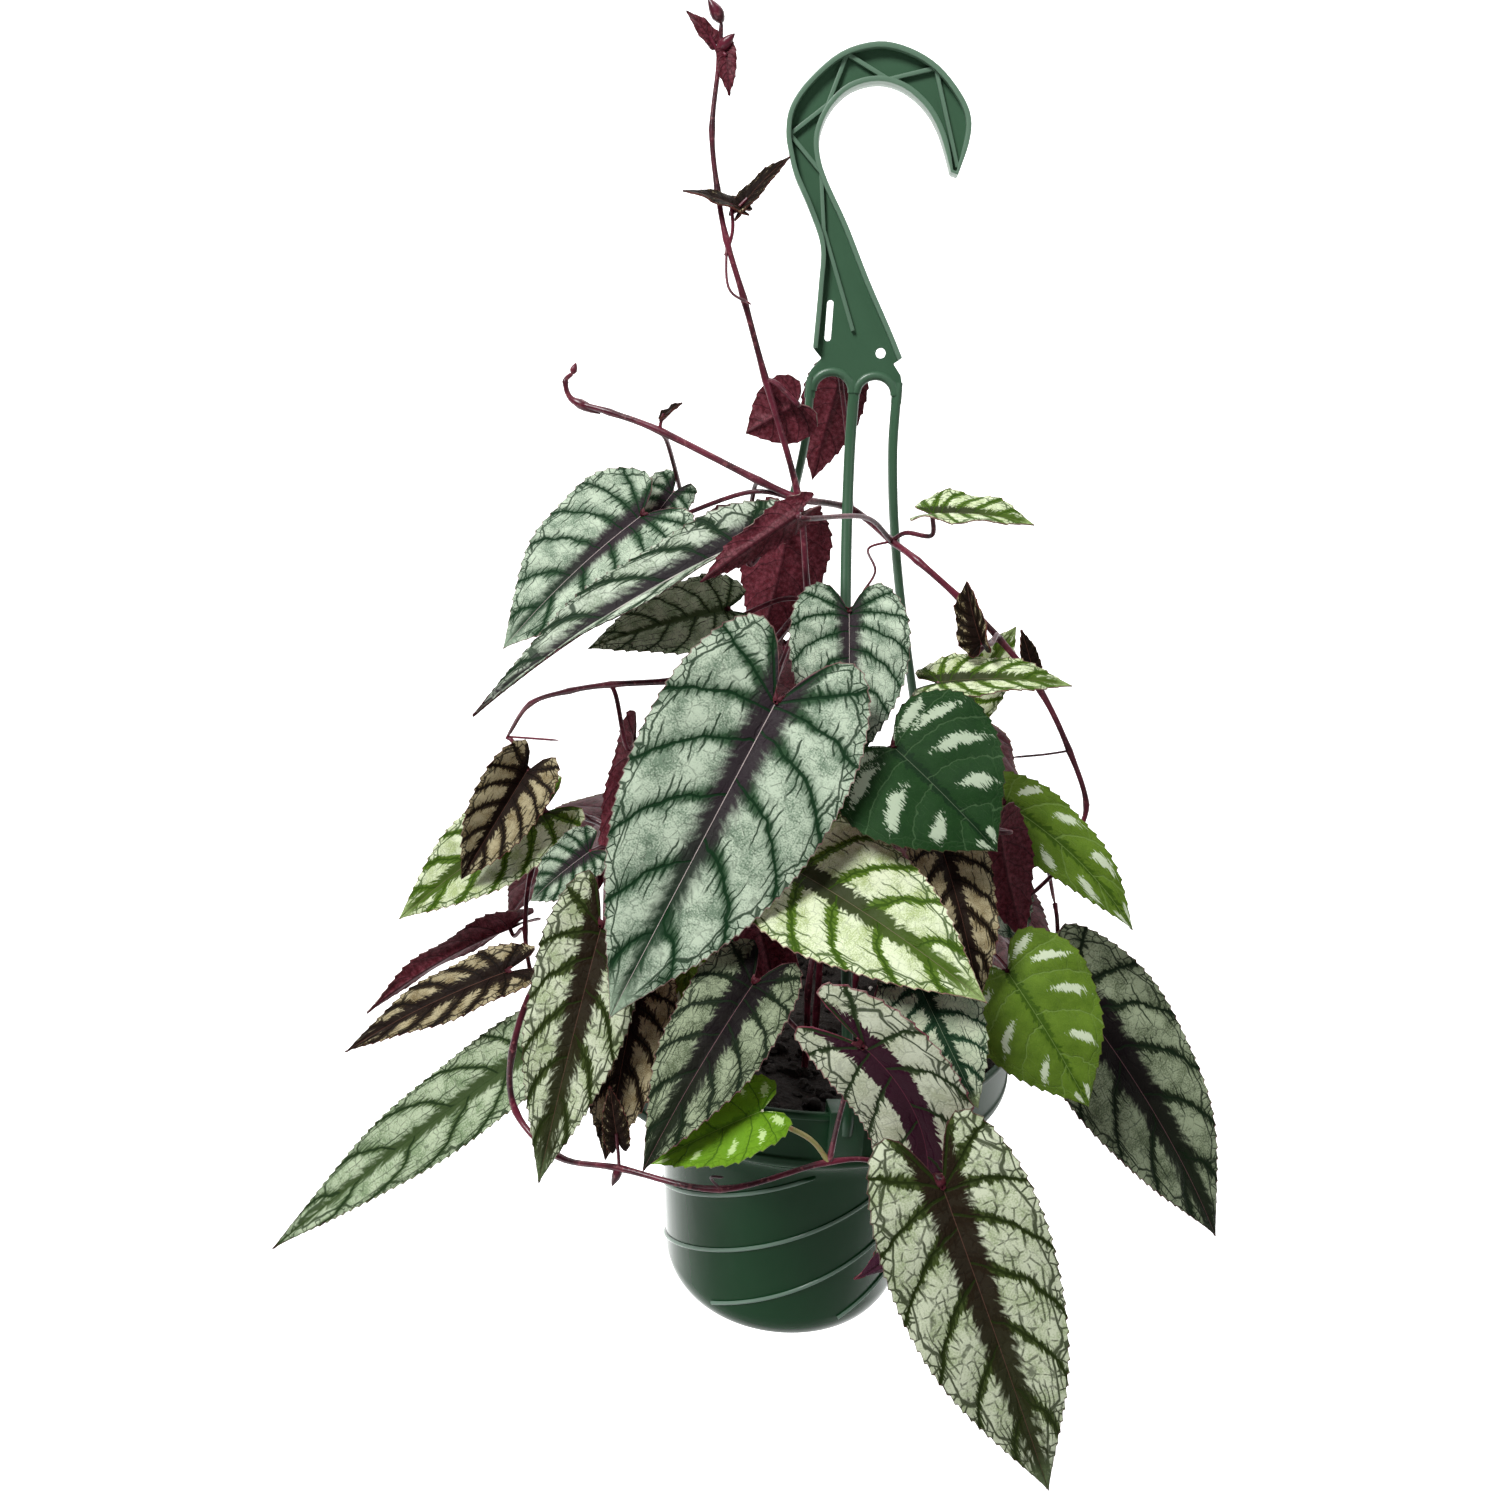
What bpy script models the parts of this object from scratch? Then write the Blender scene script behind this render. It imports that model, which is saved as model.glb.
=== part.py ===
"""Rex begonia vine in a green plastic hanging pot.

The frame is metres with +Z up. The origin is the seat of the hook, the highest
point of its inner arc. +X is the viewer's right, -Y faces the viewer, and the
pot's axis is the Z axis. Tables are in millimetres, and MM turns them to metres.
"""
import math

import bmesh
import bpy
from mathutils import Vector

MM = 0.001
CLEAR = 0.3

# Pot: radii and heights of the wide band, the narrower body and the foot.
BAND_RADIUS = 82.5
BAND_TOP = -326.6
BAND_FOOT = -348.6
BODY_TOP_RADIUS = 53.8
CREASE_RADIUS = 48.6
CREASE_Z = -439.4
BASE_RADIUS = 41.5
BASE_Z = -449.5
WALL = 1.6
POT_SIDES = 30
RIDGE_COUNT = 6
RIDGE_RADIUS = 0.9
RIDGE_FIRST_AZIMUTH = -151.0
RIDGE_RISE_PER_DEGREE = 38.0 / 90.0
DRAIN_RADIUS = 3.5
DRAIN_RING = 30.0

# Soil: a crumbly top a little under the rim.
SOIL_TOP = -341.0

# Hanger: a flat hook with raised edges, three straps and their clips.
WEB = 2.0
FLANGE_DEPTH = 8.0
FLANGE_WALL = 1.7
TIP_WALL = 0.8
RIB_DEPTH = 5.0
STRAP_AZIMUTHS = (-107.5, 12.5, 132.5)
STRAP_STARTS = (-14.6, 0.6, 15.3)
STRAP_WIDTH = 3.6
STRAP_THICKNESS = 2.6
CLIP_WIDTH = 12.0
CLIP_HEIGHT = 17.0
CLIP_THICKNESS = 1.8
SLOT = (-9.9, -66.7, -80.0, 2.2)
HOLE = (8.5, -82.8, 1.7)

# Leaves: blade thickness and the number of side veins in a half blade.
BLADE = 0.8
ROWS = 6
TOOTH = 1.1
TOOTH_SHARE = 0.018
PETIOLE_RADIUS = 0.85
PETIOLE_GAP = 0.5

# Half outline of a blade, from the notch at its joint round the lobe to the tip.
# Across is a share of the half width, and along is a share of the length.
OUTLINE = (
    (0.00, 0.000), (0.13, -0.095), (0.33, -0.175), (0.56, -0.190), (0.78, -0.125),
    (0.94, 0.000), (1.00, 0.140), (0.99, 0.285), (0.91, 0.425), (0.76, 0.560),
    (0.56, 0.690), (0.35, 0.805), (0.17, 0.900), (0.06, 0.960), (0.00, 1.000),
)
# Where the side vein to each outline point leaves the midrib.
VEIN_START = (0, 0, 0, 0, 0, 0.0, 0.03, 0.09, 0.19, 0.32, 0.47, 0.62, 0.77, 0.89, 1.0)


def leaf(name, stem, joint, tip, face, width=0.30, fold=0.10, droop=25.0, sweep=0.0,
         wave=1.5, curl=0.0, twist=0.0, kind="mint"):
    """One row of the leaf table, with the usual values filled in."""
    return dict(name=name, stem=stem, joint=joint, tip=tip, face=face, width=width, fold=fold,
                droop=droop, sweep=sweep, wave=wave, curl=curl, twist=twist, kind=kind)


# Each leaf hangs from a point of a vine, runs from its joint to its tip and turns
# its upper side to a compass angle (0 is the viewer, 90 the right) and a height.
LEAVES = (
    leaf("leaf_front_mint", ("main", 4), (-16, -72, -191), (-61, -92, -294), (7, 27), 0.285, droop=18),
    leaf("leaf_front_upper", ("main", 5), (5, -40, -166), (9, -58, -216), (2, 20), 0.36),
    leaf("leaf_right_dark", ("main", 3), (23, -60, -205), (57, -78, -231), (6, 26), 0.6, kind="dark"),
    leaf("leaf_front_lime", ("front", 5), (-9, -68, -245), (55, -108, -268), (1, 47), 0.31,
         kind="lime"),
    leaf("leaf_right_brown", ("front", 5), (41, -60, -236), (57, -80, -283), (20, 20), 0.26,
         kind="brown"),
    leaf("leaf_right_teal", ("front", 4), (36, -92, -272), (57, -104, -306), (0, 22), 0.35,
         kind="teal"),
    leaf("leaf_front_curled", ("fringe", 10), (20, -110, -286), (25, -92, -382), (-4, 12), 0.155,
         sweep=96, fold=-0.08, wave=1.0, kind="plum", droop=8),
    leaf("leaf_low_right", ("fringe", 12), (47, -121, -324), (89, -132, -420), (4, 24), 0.238, droop=15,
         kind="olive"),
    leaf("leaf_far_right", ("right", 6), (101, -16, -307), (164, -30, -395), (24, 26), 0.26,
         kind="violet", sweep=4),
    leaf("leaf_right_green", ("right", 2), (68, -62, -279), (97, -78, -317), (14, 26), 0.46,
         kind="green"),
    leaf("leaf_right_dashed", ("right", 4), (66, -24, -232), (113, -38, -270), (14, 24), 0.2,
         kind="green", sweep=20),
    leaf("leaf_top_right", ("main", 16), (30, -22, -133), (63, -30, -134), (10, 60), 0.27, kind="lime",
         fold=0.25),
    leaf("leaf_right_pale", ("main", 19), (37, -37, -187), (80, -42, -184), (16, 58), 0.22, kind="lime",
         fold=0.2),
    leaf("leaf_right_folded", ("main", 19), (49, -37, -173), (43, -29, -154), (-31, 3), 0.24, fold=0.8,
         kind="brown"),
    leaf("leaf_right_magenta", ("front", 5), (61, -44, -235), (74, -50, -273), (200, 10), 0.27,
         kind="under"),
    leaf("leaf_right_hidden", ("right", 3), (52, -24, -248), (80, -24, -285), (0, 20), 0.36),
    leaf("leaf_left_upper", ("main", 6), (-70, -12, -142), (-113, -32, -189), (-9, 35), 0.345),
    leaf("leaf_left_striped", ("main", 6), (-32, -35, -146), (-113, -68, -204), (-32, 57), 0.12,
         droop=14, kind="striped", fold=0.5, sweep=-10),
    leaf("leaf_left_lower", ("main", 5), (-37, -28, -170), (-81, -44, -184), (-6, 34), 0.27,
         kind="sage"),
    leaf("leaf_centre_red", ("main", 16), (-14, -50, -134), (-43, -58, -157), (175, 20), 0.15, droop=12,
         fold=0.3, kind="under"),
    leaf("leaf_centre_magenta", ("main", 6), (-18, -5, -144), (-27, -5, -193), (163, -1), 0.31,
         kind="under"),
    leaf("leaf_left_magenta", ("main", 27), (-41, 13, -143), (-62, -2, -157), (190, 30), 0.2,
         kind="under"),
    leaf("leaf_knot_red", ("main", 7), (-18, -14, -101), (-35, -14, -112), (180, 0), 0.55, kind="under"),
    leaf("leaf_strap_red", ("main", 15), (-5, 16, -92), (-12, 18, -128), (184, 4), 0.30, kind="under"),
    leaf("leaf_left_green", ("left", 4), (-104, -8, -256), (-155, -22, -299), (-8, 30), 0.25,
         kind="lime"),
    leaf("leaf_left_brown", ("main", 39), (-108, -16, -238), (-129, -28, -278), (12, 16), 0.26,
         fold=0.5, kind="brown"),
    leaf("leaf_left_red", ("main", 36), (-66, -26, -221), (-79, -34, -279), (165, 0), 0.14, fold=0.4,
         kind="under"),
    leaf("leaf_left_grey", ("fringe", 3), (-79, -42, -257), (-101, -35, -281), (-10, 30), 0.3),
    leaf("leaf_front_left", ("fringe", 3), (-68, -74, -271), (-82, -96, -355), (-4, 18), 0.2, droop=12,
         kind="olive"),
    leaf("leaf_left_folded", ("left", 7), (-119, 3, -309), (-169, -20, -341), (163, 42), 0.13, fold=0.3,
         kind="under"),
    leaf("leaf_left_cream", ("left", 8), (-114, -21, -317), (-172, -35, -350), (-4, 55), 0.16,
         kind="brown"),
    leaf("leaf_low_left", ("left", 9), (-101, -30, -344), (-200, -44, -435), (-16, 36), 0.115, droop=12,
         kind="sage"),
    leaf("leaf_front_tan", ("fringe", 2), (-56, -68, -295), (-62, -84, -352), (2, 12), 0.24,
         kind="brown"),
    leaf("leaf_front_purple", ("fringe", 11), (-16, -90, -278), (-44, -122, -328), (-11, 45), 0.25,
         kind="violet"),
    leaf("leaf_front_bright", ("fringe", 10), (-10, -106, -313), (-43, -112, -332), (-16, 46), 0.31,
         kind="bright"),
    leaf("leaf_front_magenta", ("front", 5), (-16, -66, -268), (-5, -84, -297), (178, -10), 0.27,
         kind="under"),
    leaf("leaf_front_deep", ("fringe", 2), (-40, -58, -280), (-39, -66, -310), (0, 20), 0.3,
         kind="green"),
    leaf("leaf_left_small", ("main", 28), (-62, 9, -135), (-79, 5, -164), (-12, 20), 0.28),
    leaf("leaf_back_left_upper", ("back_left", 3), (-44, 28, -208), (-59, 33, -250), (220, 30), 0.25),
    leaf("leaf_back_upper", ("back_left", 3), (-19, 52, -196), (-36, 94, -268), (183, 40), 0.28),
    leaf("leaf_right_behind", ("back_right", 4), (48, -8, -202), (65, -4, -172), (0, 10), 0.3,
         kind="lime"),
    leaf("leaf_right_back", ("back_right", 4), (60, 38, -220), (80, 62, -270), (120, 32), 0.26,
         kind="lime"),
    leaf("leaf_back_left", ("back_left", 6), (-86, 50, -272), (-140, 80, -342), (220, 28), 0.25,
         kind="olive"),
    leaf("leaf_back_centre_left", ("back_left", 6), (-42, 88, -270), (-60, 126, -356), (196, 24), 0.25),
    leaf("leaf_back_centre", ("back_right", 6), (18, 92, -276), (24, 130, -366), (176, 24), 0.25,
         kind="lime"),
    leaf("leaf_back_right", ("back_right", 7), (76, 70, -302), (111, 100, -389), (145, 26), 0.24,
         kind="olive"),
    leaf("leaf_back_low_left", ("left", 8), (-96, 46, -340), (-109, 60, -427), (240, 34), 0.24,
         kind="brown"),
    leaf("leaf_back_low_right", ("back_right", 8), (98, 34, -322), (138, 60, -402), (120, 30), 0.25),
    leaf("leaf_back_low", ("back_left", 8), (-26, 98, -350), (-34, 116, -426), (190, 16), 0.24,
         kind="plum"),
    leaf("leaf_back_low_side", ("back_right", 8), (52, 90, -356), (72, 112, -428), (155, 18), 0.26,
         kind="green"),
)

# Each vine is one or more runs of points. The first run starts in the soil, and a
# later run starts on a point of an earlier one.
VINES = {
    "main": (
        ((6, -10, -356), (6, -12, -326), (5, -16, -280), (3, -20, -230), (1, -20, -197),
         (-9, -20, -166), (-15, -20, -132), (-29, -18, -94), (-38, -16, -69), (-45, -14, -51),
         (-49, -12, -36), (-52, -10, -18), (-51, -8, 3), (-51, -8, 14)),
        ((-15, -20, -132), (3, 3, -136), (18, -8, -145), (27, -18, -150), (42, -22, -161),
         (57, -20, -174), (74, -18, -192), (87, -16, -213), (96, -14, -233), (93, -16, -246),
         (87, -22, -256), (78, -27, -265)),
        ((-15, -20, -132), (-29, -18, -127), (-64, -14, -113), (-82, -12, -108), (-95, -10, -105),
         (-98, -10, -99), (-96, -8, -96)),
        ((-9, -20, -166), (-30, -30, -191), (-53, -34, -195), (-75, -30, -199), (-91, -24, -204),
         (-107, -16, -212), (-118, -6, -228)),
    ),
    "front": (
        ((3, -32, -356), (3, -38, -326), (2, -46, -300), (4, -50, -280), (14, -50, -262),
         (28, -48, -242)),
    ),
    "fringe": (
        ((-20, -32, -356), (-26, -42, -318), (-46, -56, -294), (-70, -54, -282), (-90, -64, -296),
         (-98, -70, -322), (-96, -72, -344), (-78, -84, -352), (-55, -97, -345), (-21, -104, -344),
         (13, -98, -334), (33, -90, -338), (70, -105, -338)),
    ),
    "left": (
        ((-28, -6, -356), (-32, -8, -320), (-44, -12, -290), (-65, -6, -271), (-86, 0, -260),
         (-103, 8, -267), (-110, 2, -285), (-110, -6, -306), (-106, -12, -322), (-100, -20, -334)),
    ),
    "right": (
        ((28, 4, -356), (30, 2, -322), (40, -6, -290), (52, -14, -264), (66, -10, -250),
         (84, -4, -256), (94, 6, -280)),
    ),
    "back_left": (
        ((-16, 22, -356), (-16, 24, -320), (-20, 26, -270), (-22, 26, -214), (-6, 20, -160)),
        ((-20, 26, -270), (-60, 40, -258), (-76, 66, -300), (-60, 84, -340)),
    ),
    "back_right": (
        ((20, 22, -356), (22, 24, -320), (26, 26, -270), (29, 36, -224), (46, 42, -212)),
        ((26, 26, -270), (40, 60, -256), (66, 62, -290), (76, 66, -330)),
    ),
}

# Thin things fused to a vine: tendrils, buds and unopened leaves.
TENDRILS = (
    ("main", ((-45, -14, -51), (-43, -18, -66), (-35, -20, -71))),
    ("main", ((-118, -6, -228), (-109, -9, -227), (-97, -12, -226))),
    ("main", ((87, -16, -213), (78, -20, -214), (66, -24, -215))),
    ("main", ((18, -8, -145), (10, -11, -148), (13, -15, -155), (9, -16, -163))),
    ("fringe", ((-21, -104, -344), (-24, -107, -338), (-20, -109, -336))),
)
BUDS = (
    ("main", (-51, -8, 14), (-0.6, -0.2, 0.8), 8, 2.2),
    ("main", (-51, -8, 6), (0.7, -0.3, 0.6), 7, 1.8),
    ("main", (-95, -10, -105), (1.0, 0.0, -0.4), 11, 1.8),
    ("main", (-96, -8, -96), (0.3, 0.0, 1.0), 4, 1.3),
    ("fringe", (-55, -97, -345), (-0.3, 0.0, -1.0), 8, 1.6),
)
YOUNG_LEAVES = (
    ("main", (-45, -14, -56), (-41, -16, -41), (-60, -15, -37), (0, 60), 0.20),
    ("main", (-41, -16, -41), (-41, -16, -41), (-26, -14, -25), (0, 50), 0.16),
    ("main", (-51, -8, 3), (-53, -9, 8), (-62, -10, 16), (0, 40), 0.24),
    ("main", (-51, -8, 3), (-49, -9, 6), (-47, -10, -8), (0, 20), 0.22),
    ("main", (-64, -14, -113), (-64, -14, -108), (-57, -14, -103), (0, 60), 0.22),
    ("main", (74, -18, -192), (70, -20, -184), (64, -22, -170), (0, 20), 0.20),
    ("fringe", (-55, -97, -345), (-56, -96, -336), (-60, -92, -318), (10, 10), 0.22),
)

SMALL_ROWS = 2
VINE_RADIUS = 1.25
VINE_TIP_RADIUS = 0.75
VINE_SIDES = 4
PETIOLE_SIDES = 3
TENDRIL_RADIUS = 0.45
STEM_HOLE_RADIUS = 2.5
STEM_HOLE_DEPTH = 26.0

GREENS = {
    "mint": (0.46, 0.62, 0.50), "dark": (0.03, 0.11, 0.05), "lime": (0.52, 0.62, 0.30),
    "brown": (0.30, 0.24, 0.16), "plum": (0.35, 0.36, 0.32), "olive": (0.33, 0.42, 0.26),
    "green": (0.13, 0.28, 0.03), "under": (0.20, 0.02, 0.05), "striped": (0.30, 0.38, 0.30),
    "bright": (0.25, 0.52, 0.05), "sage": (0.38, 0.50, 0.32), "teal": (0.14, 0.32, 0.20),
    "violet": (0.26, 0.34, 0.27),
}


def clear_scene():
    for item in list(bpy.data.objects):
        bpy.data.objects.remove(item, do_unlink=True)


def make_material(name, colour, roughness):
    material = bpy.data.materials.new(name)
    material.use_nodes = True
    shader = material.node_tree.nodes["Principled BSDF"]
    shader.inputs["Base Color"].default_value = (*colour, 1.0)
    shader.inputs["Roughness"].default_value = roughness
    shader.inputs["Metallic"].default_value = 0.0
    return material


def add_object(name, points, faces, material=None, smooth=True):
    """An object from points in millimetres."""
    mesh = bpy.data.meshes.new(name)
    mesh.from_pydata([Vector(p) * MM for p in points], [], faces)
    mesh.validate()
    if smooth:
        mesh.shade_smooth()
        mesh.set_sharp_from_angle(angle=math.radians(40))
    item = bpy.data.objects.new(name, mesh)
    bpy.context.scene.collection.objects.link(item)
    if material:
        mesh.materials.append(material)
    return item


def evaluated_copy(item):
    graph = bpy.context.evaluated_depsgraph_get()
    return bpy.data.meshes.new_from_object(item.evaluated_get(graph))


def combine(base, others, operation, material):
    """Joins or cuts a base object with other objects, and removes those."""
    group = bpy.data.collections.new(base.name + "_group")
    bpy.context.scene.collection.children.link(group)
    for item in others:
        bpy.context.scene.collection.objects.unlink(item)
        group.objects.link(item)
    boolean = base.modifiers.new("combine", "BOOLEAN")
    boolean.operation = operation
    boolean.operand_type = "COLLECTION"
    boolean.collection = group
    boolean.solver = "MANIFOLD"
    mesh = evaluated_copy(base)
    base.modifiers.clear()
    base.data = mesh
    base.data.materials.clear()
    base.data.materials.append(material)
    for item in others:
        bpy.data.objects.remove(item, do_unlink=True)
    bpy.data.collections.remove(group)
    return base


def smooth_run(points, pieces):
    """Points on a Catmull-Rom curve through the given points."""
    pts = [Vector(p) for p in points]
    if len(pts) < 3:
        return pts
    ends = [pts[0] * 2 - pts[1]] + pts + [pts[-1] * 2 - pts[-2]]
    result = []
    for i in range(len(pts) - 1):
        a, b, c, d = ends[i:i + 4]
        for k in range(pieces):
            t = k / pieces
            result.append(0.5 * ((2 * b) + (c - a) * t + (2 * a - 5 * b + 4 * c - d) * t * t
                                 + (3 * b - a - 3 * c + d) * t ** 3))
    result.append(pts[-1])
    return result


def tube(name, points, radii, sides, flat=1.0, side_hint=None):
    """A closed tube along points. Flat squeezes it across its side hint."""
    pts = [Vector(p) for p in points]
    side = Vector(side_hint or (0.31, 0.87, 0.38))
    rings = []
    for i, point in enumerate(pts):
        ahead = (pts[min(i + 1, len(pts) - 1)] - pts[max(i - 1, 0)]).normalized()
        side = (side - ahead * side.dot(ahead)).normalized()
        other = ahead.cross(side)
        ring = []
        for k in range(sides):
            angle = 2 * math.pi * (k + 0.5) / sides
            ring.append(point + side * math.cos(angle) * radii[i]
                        + other * math.sin(angle) * radii[i] * flat)
        rings.append(ring)
    verts = [v for ring in rings for v in ring]
    faces = []
    for i in range(len(rings) - 1):
        for k in range(sides):
            a = i * sides + k
            b = i * sides + (k + 1) % sides
            faces.append((a, b, b + sides, a + sides))
    faces.append(tuple(reversed(range(sides))))
    faces.append(tuple(range(len(verts) - sides, len(verts))))
    return add_object(name, verts, faces)


def turned(name, profile, sides):
    """A closed solid turned from a profile of radius and height, on the Z axis."""
    verts = []
    starts = []
    for radius, height in profile:
        starts.append(len(verts))
        if radius == 0:
            verts.append((0, 0, height))
            continue
        for k in range(sides):
            angle = 2 * math.pi * k / sides
            verts.append((radius * math.cos(angle), radius * math.sin(angle), height))
    faces = []
    count = len(profile)
    for i in range(count):
        j = (i + 1) % count
        for k in range(sides):
            near = (k + 1) % sides
            if profile[i][0] == 0 and profile[j][0] == 0:
                continue
            if profile[i][0] == 0:
                faces.append((starts[i], starts[j] + near, starts[j] + k))
            elif profile[j][0] == 0:
                faces.append((starts[i] + k, starts[i] + near, starts[j]))
            else:
                faces.append((starts[i] + k, starts[i] + near, starts[j] + near, starts[j] + k))
    item = add_object(name, verts, faces)
    fix_normals(item)
    return item


def fix_normals(item):
    shell = bmesh.new()
    shell.from_mesh(item.data)
    bmesh.ops.recalc_face_normals(shell, faces=shell.faces)
    shell.to_mesh(item.data)
    shell.free()


def body_radius(z):
    """Outer radius of the pot's body at a height below the band."""
    share = (z - CREASE_Z) / (-372.0 - CREASE_Z)
    return CREASE_RADIUS + (BODY_TOP_RADIUS - CREASE_RADIUS) * share


def pot_outer():
    return [
        (BASE_RADIUS, BASE_Z), (45.0, -447.6), (47.4, -443.6), (CREASE_RADIUS, CREASE_Z),
        (BODY_TOP_RADIUS, -372.0), (55.4, -366.6), (60.5, -361.6), (70.0, -356.0),
        (BAND_RADIUS - 0.6, BAND_FOOT), (BAND_RADIUS, BAND_FOOT + 1.4), (BAND_RADIUS, BAND_FOOT + 3.6),
        (BAND_RADIUS - 0.7, BAND_FOOT + 4.2), (BAND_RADIUS - 0.7, BAND_TOP - 3.0),
        (BAND_RADIUS + 0.9, BAND_TOP - 2.4), (BAND_RADIUS + 0.9, BAND_TOP),
    ]


def pot_inner():
    """Inside of the wall, from the rim down to the floor's centre."""
    return [
        (BAND_RADIUS - WALL, BAND_TOP), (BAND_RADIUS - WALL, BAND_FOOT + 1.0), (69.2, -354.2),
        (57.4, -361.0), (BODY_TOP_RADIUS - WALL, -372.0), (CREASE_RADIUS - WALL, CREASE_Z),
        (BASE_RADIUS, BASE_Z + WALL + 0.3), (0, BASE_Z + WALL + 0.3),
    ]


def ridge(index):
    """One raised line that climbs round the body from the foot to the shoulder."""
    start = RIDGE_FIRST_AZIMUTH + index * 360.0 / RIDGE_COUNT
    points = []
    steps = 12
    rise = -371.0 - CREASE_Z
    for k in range(steps + 1):
        height = CREASE_Z + rise * k / steps
        azimuth = math.radians(start + (height - CREASE_Z) / RIDGE_RISE_PER_DEGREE)
        radius = body_radius(height) + 0.15
        points.append((radius * math.sin(azimuth), -radius * math.cos(azimuth), height))
    return tube("ridge", points, [RIDGE_RADIUS] * (steps + 1), 3)


def make_pot(material):
    pot = turned("pot", pot_outer() + pot_inner() + [(0, BASE_Z)], POT_SIDES)
    combine(pot, [ridge(i) for i in range(RIDGE_COUNT)], "UNION", material)
    cutters = []
    for k in range(6):
        angle = math.radians(30 + 60 * k)
        x = DRAIN_RING * math.sin(angle)
        y = DRAIN_RING * math.cos(angle)
        points = ((x, y, BASE_Z - 2), (x, y, BASE_Z + WALL + 3))
        cutters.append(tube("drain", points, [DRAIN_RADIUS] * 2, 10))
    combine(pot, cutters, "DIFFERENCE", material)
    finish(pot, 35)


def finish(item, angle):
    item.data.shade_smooth()
    item.data.set_sharp_from_angle(angle=math.radians(angle))


def make_soil(material):
    side = [(max(r - CLEAR, 0), z) for r, z in pot_inner() if z < SOIL_TOP]
    side[0] = (BAND_RADIUS - WALL - CLEAR, SOIL_TOP)
    side[-1] = (0, BASE_Z + WALL + 0.3 + CLEAR)
    side[-2] = (side[-2][0], side[-1][1])
    side.insert(1, (BAND_RADIUS - WALL - CLEAR, BAND_FOOT + 1.2))
    top = [(0, SOIL_TOP + 4), (26, SOIL_TOP + 3), (50, SOIL_TOP + 2), (70, SOIL_TOP + 1)]
    soil = turned("soil", top + side, POT_SIDES)
    for vertex in soil.data.vertices:
        p = vertex.co / MM
        reach = math.hypot(p.x, p.y)
        if p.z > SOIL_TOP + 0.5 and reach < 75:
            bump = math.sin(p.x * 0.23 + 1.0) * math.cos(p.y * 0.31) + math.sin(p.x * 0.11 - p.y * 0.17)
            vertex.co.z += bump * 1.6 * MM
    cutters = []
    for runs in VINES.values():
        for run in runs:
            if run[0][2] > SOIL_TOP - 10:
                continue
            foot = Vector(run[0])
            ahead = (Vector(run[1]) - foot).normalized()
            points = (foot - ahead * CLEAR, foot + ahead * STEM_HOLE_DEPTH)
            cutters.append(tube("hole", points, [STEM_HOLE_RADIUS] * 2, 8))
    combine(soil, cutters, "DIFFERENCE", material)
    finish(soil, 30)


def hook_outline():
    """Outline of the hook and its shank in X and Z: over the top from the tip, and back inside."""
    outer = [(28.4, -26.3), (30.9, -16.5), (30.7, -9.0), (26.8, -2.2), (18.8, 5.5), (9.2, 10.1),
             (-1.1, 11.5), (-12.6, 8.0), (-22.4, -0.5), (-27.6, -8.5), (-28.5, -16.0), (-27.1, -22.6),
             (-24.7, -29.4), (-19.4, -39.0), (-14.6, -50.0), (-14.2, -62.0), (-14.6, -82.5)]
    inner = [(15.9, -84.0), (11.1, -75.0), (2.3, -59.4), (-6.0, -43.3), (-13.6, -30.5),
             (-16.8, -23.0), (-17.5, -16.0), (-14.6, -8.4), (-8.6, -2.5), (0.0, 0.0), (8.2, -1.6),
             (15.4, -6.4), (20.2, -12.4), (23.4, -19.0), (26.0, -25.6)]
    return outer, inner


def arch(x0, x1, z, rise, steps):
    """An arch between two straps, from right to left."""
    points = []
    for k in range(steps + 1):
        angle = math.pi * k / steps
        x = (x0 + x1) / 2 + (x1 - x0) / 2 * math.cos(angle)
        points.append((x, z + rise * math.sin(angle)))
    return points


def flat_plate(name, outline, y0, y1):
    """A closed plate from an outline in X and Z between two depths."""
    count = len(outline)
    verts = [(x, y0, z) for x, z in outline] + [(x, y1, z) for x, z in outline]
    faces = [tuple(range(count)), tuple(reversed(range(count, 2 * count)))]
    for k in range(count):
        n = (k + 1) % count
        faces.append((k, k + count, n + count, n))
    item = add_object(name, verts, faces)
    fix_normals(item)
    return item


def inset_outline(outline, amounts):
    """The outline moved inwards. It runs anticlockwise, seen from the viewer's side."""
    result = []
    count = len(outline)
    for k, amount in enumerate(amounts):
        before = Vector(outline[k - 1])
        here = Vector(outline[k])
        after = Vector(outline[(k + 1) % count])
        a = (here - before).normalized()
        b = (after - here).normalized()
        inward = Vector((-a.y, a.x)) + Vector((-b.y, b.x))
        inward.normalize()
        turn = max(0.5, inward.dot(Vector((-a.y, a.x))))
        result.append(tuple(here + inward * amount / turn))
    return result


def strap_path(index):
    azimuth = math.radians(STRAP_AZIMUTHS[index])
    radius = BAND_RADIUS + 1.6 + CLIP_THICKNESS / 2
    start = Vector((STRAP_STARTS[index], 0, 0))
    end = Vector((radius * math.sin(azimuth), -radius * math.cos(azimuth), 0))
    shares = ((-92, 0.0), (-105, 0.0), (-117, 0.012), (-138, 0.065), (-163, 0.16), (-190, 0.29),
              (-225, 0.47), (-260, 0.65), (-290, 0.80), (-312, 0.93), (-326, 1.0), (-333, 1.0))
    points = []
    for z, share in shares:
        flat = start.lerp(end, share)
        points.append((flat.x, flat.y, z))
    return points


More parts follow.
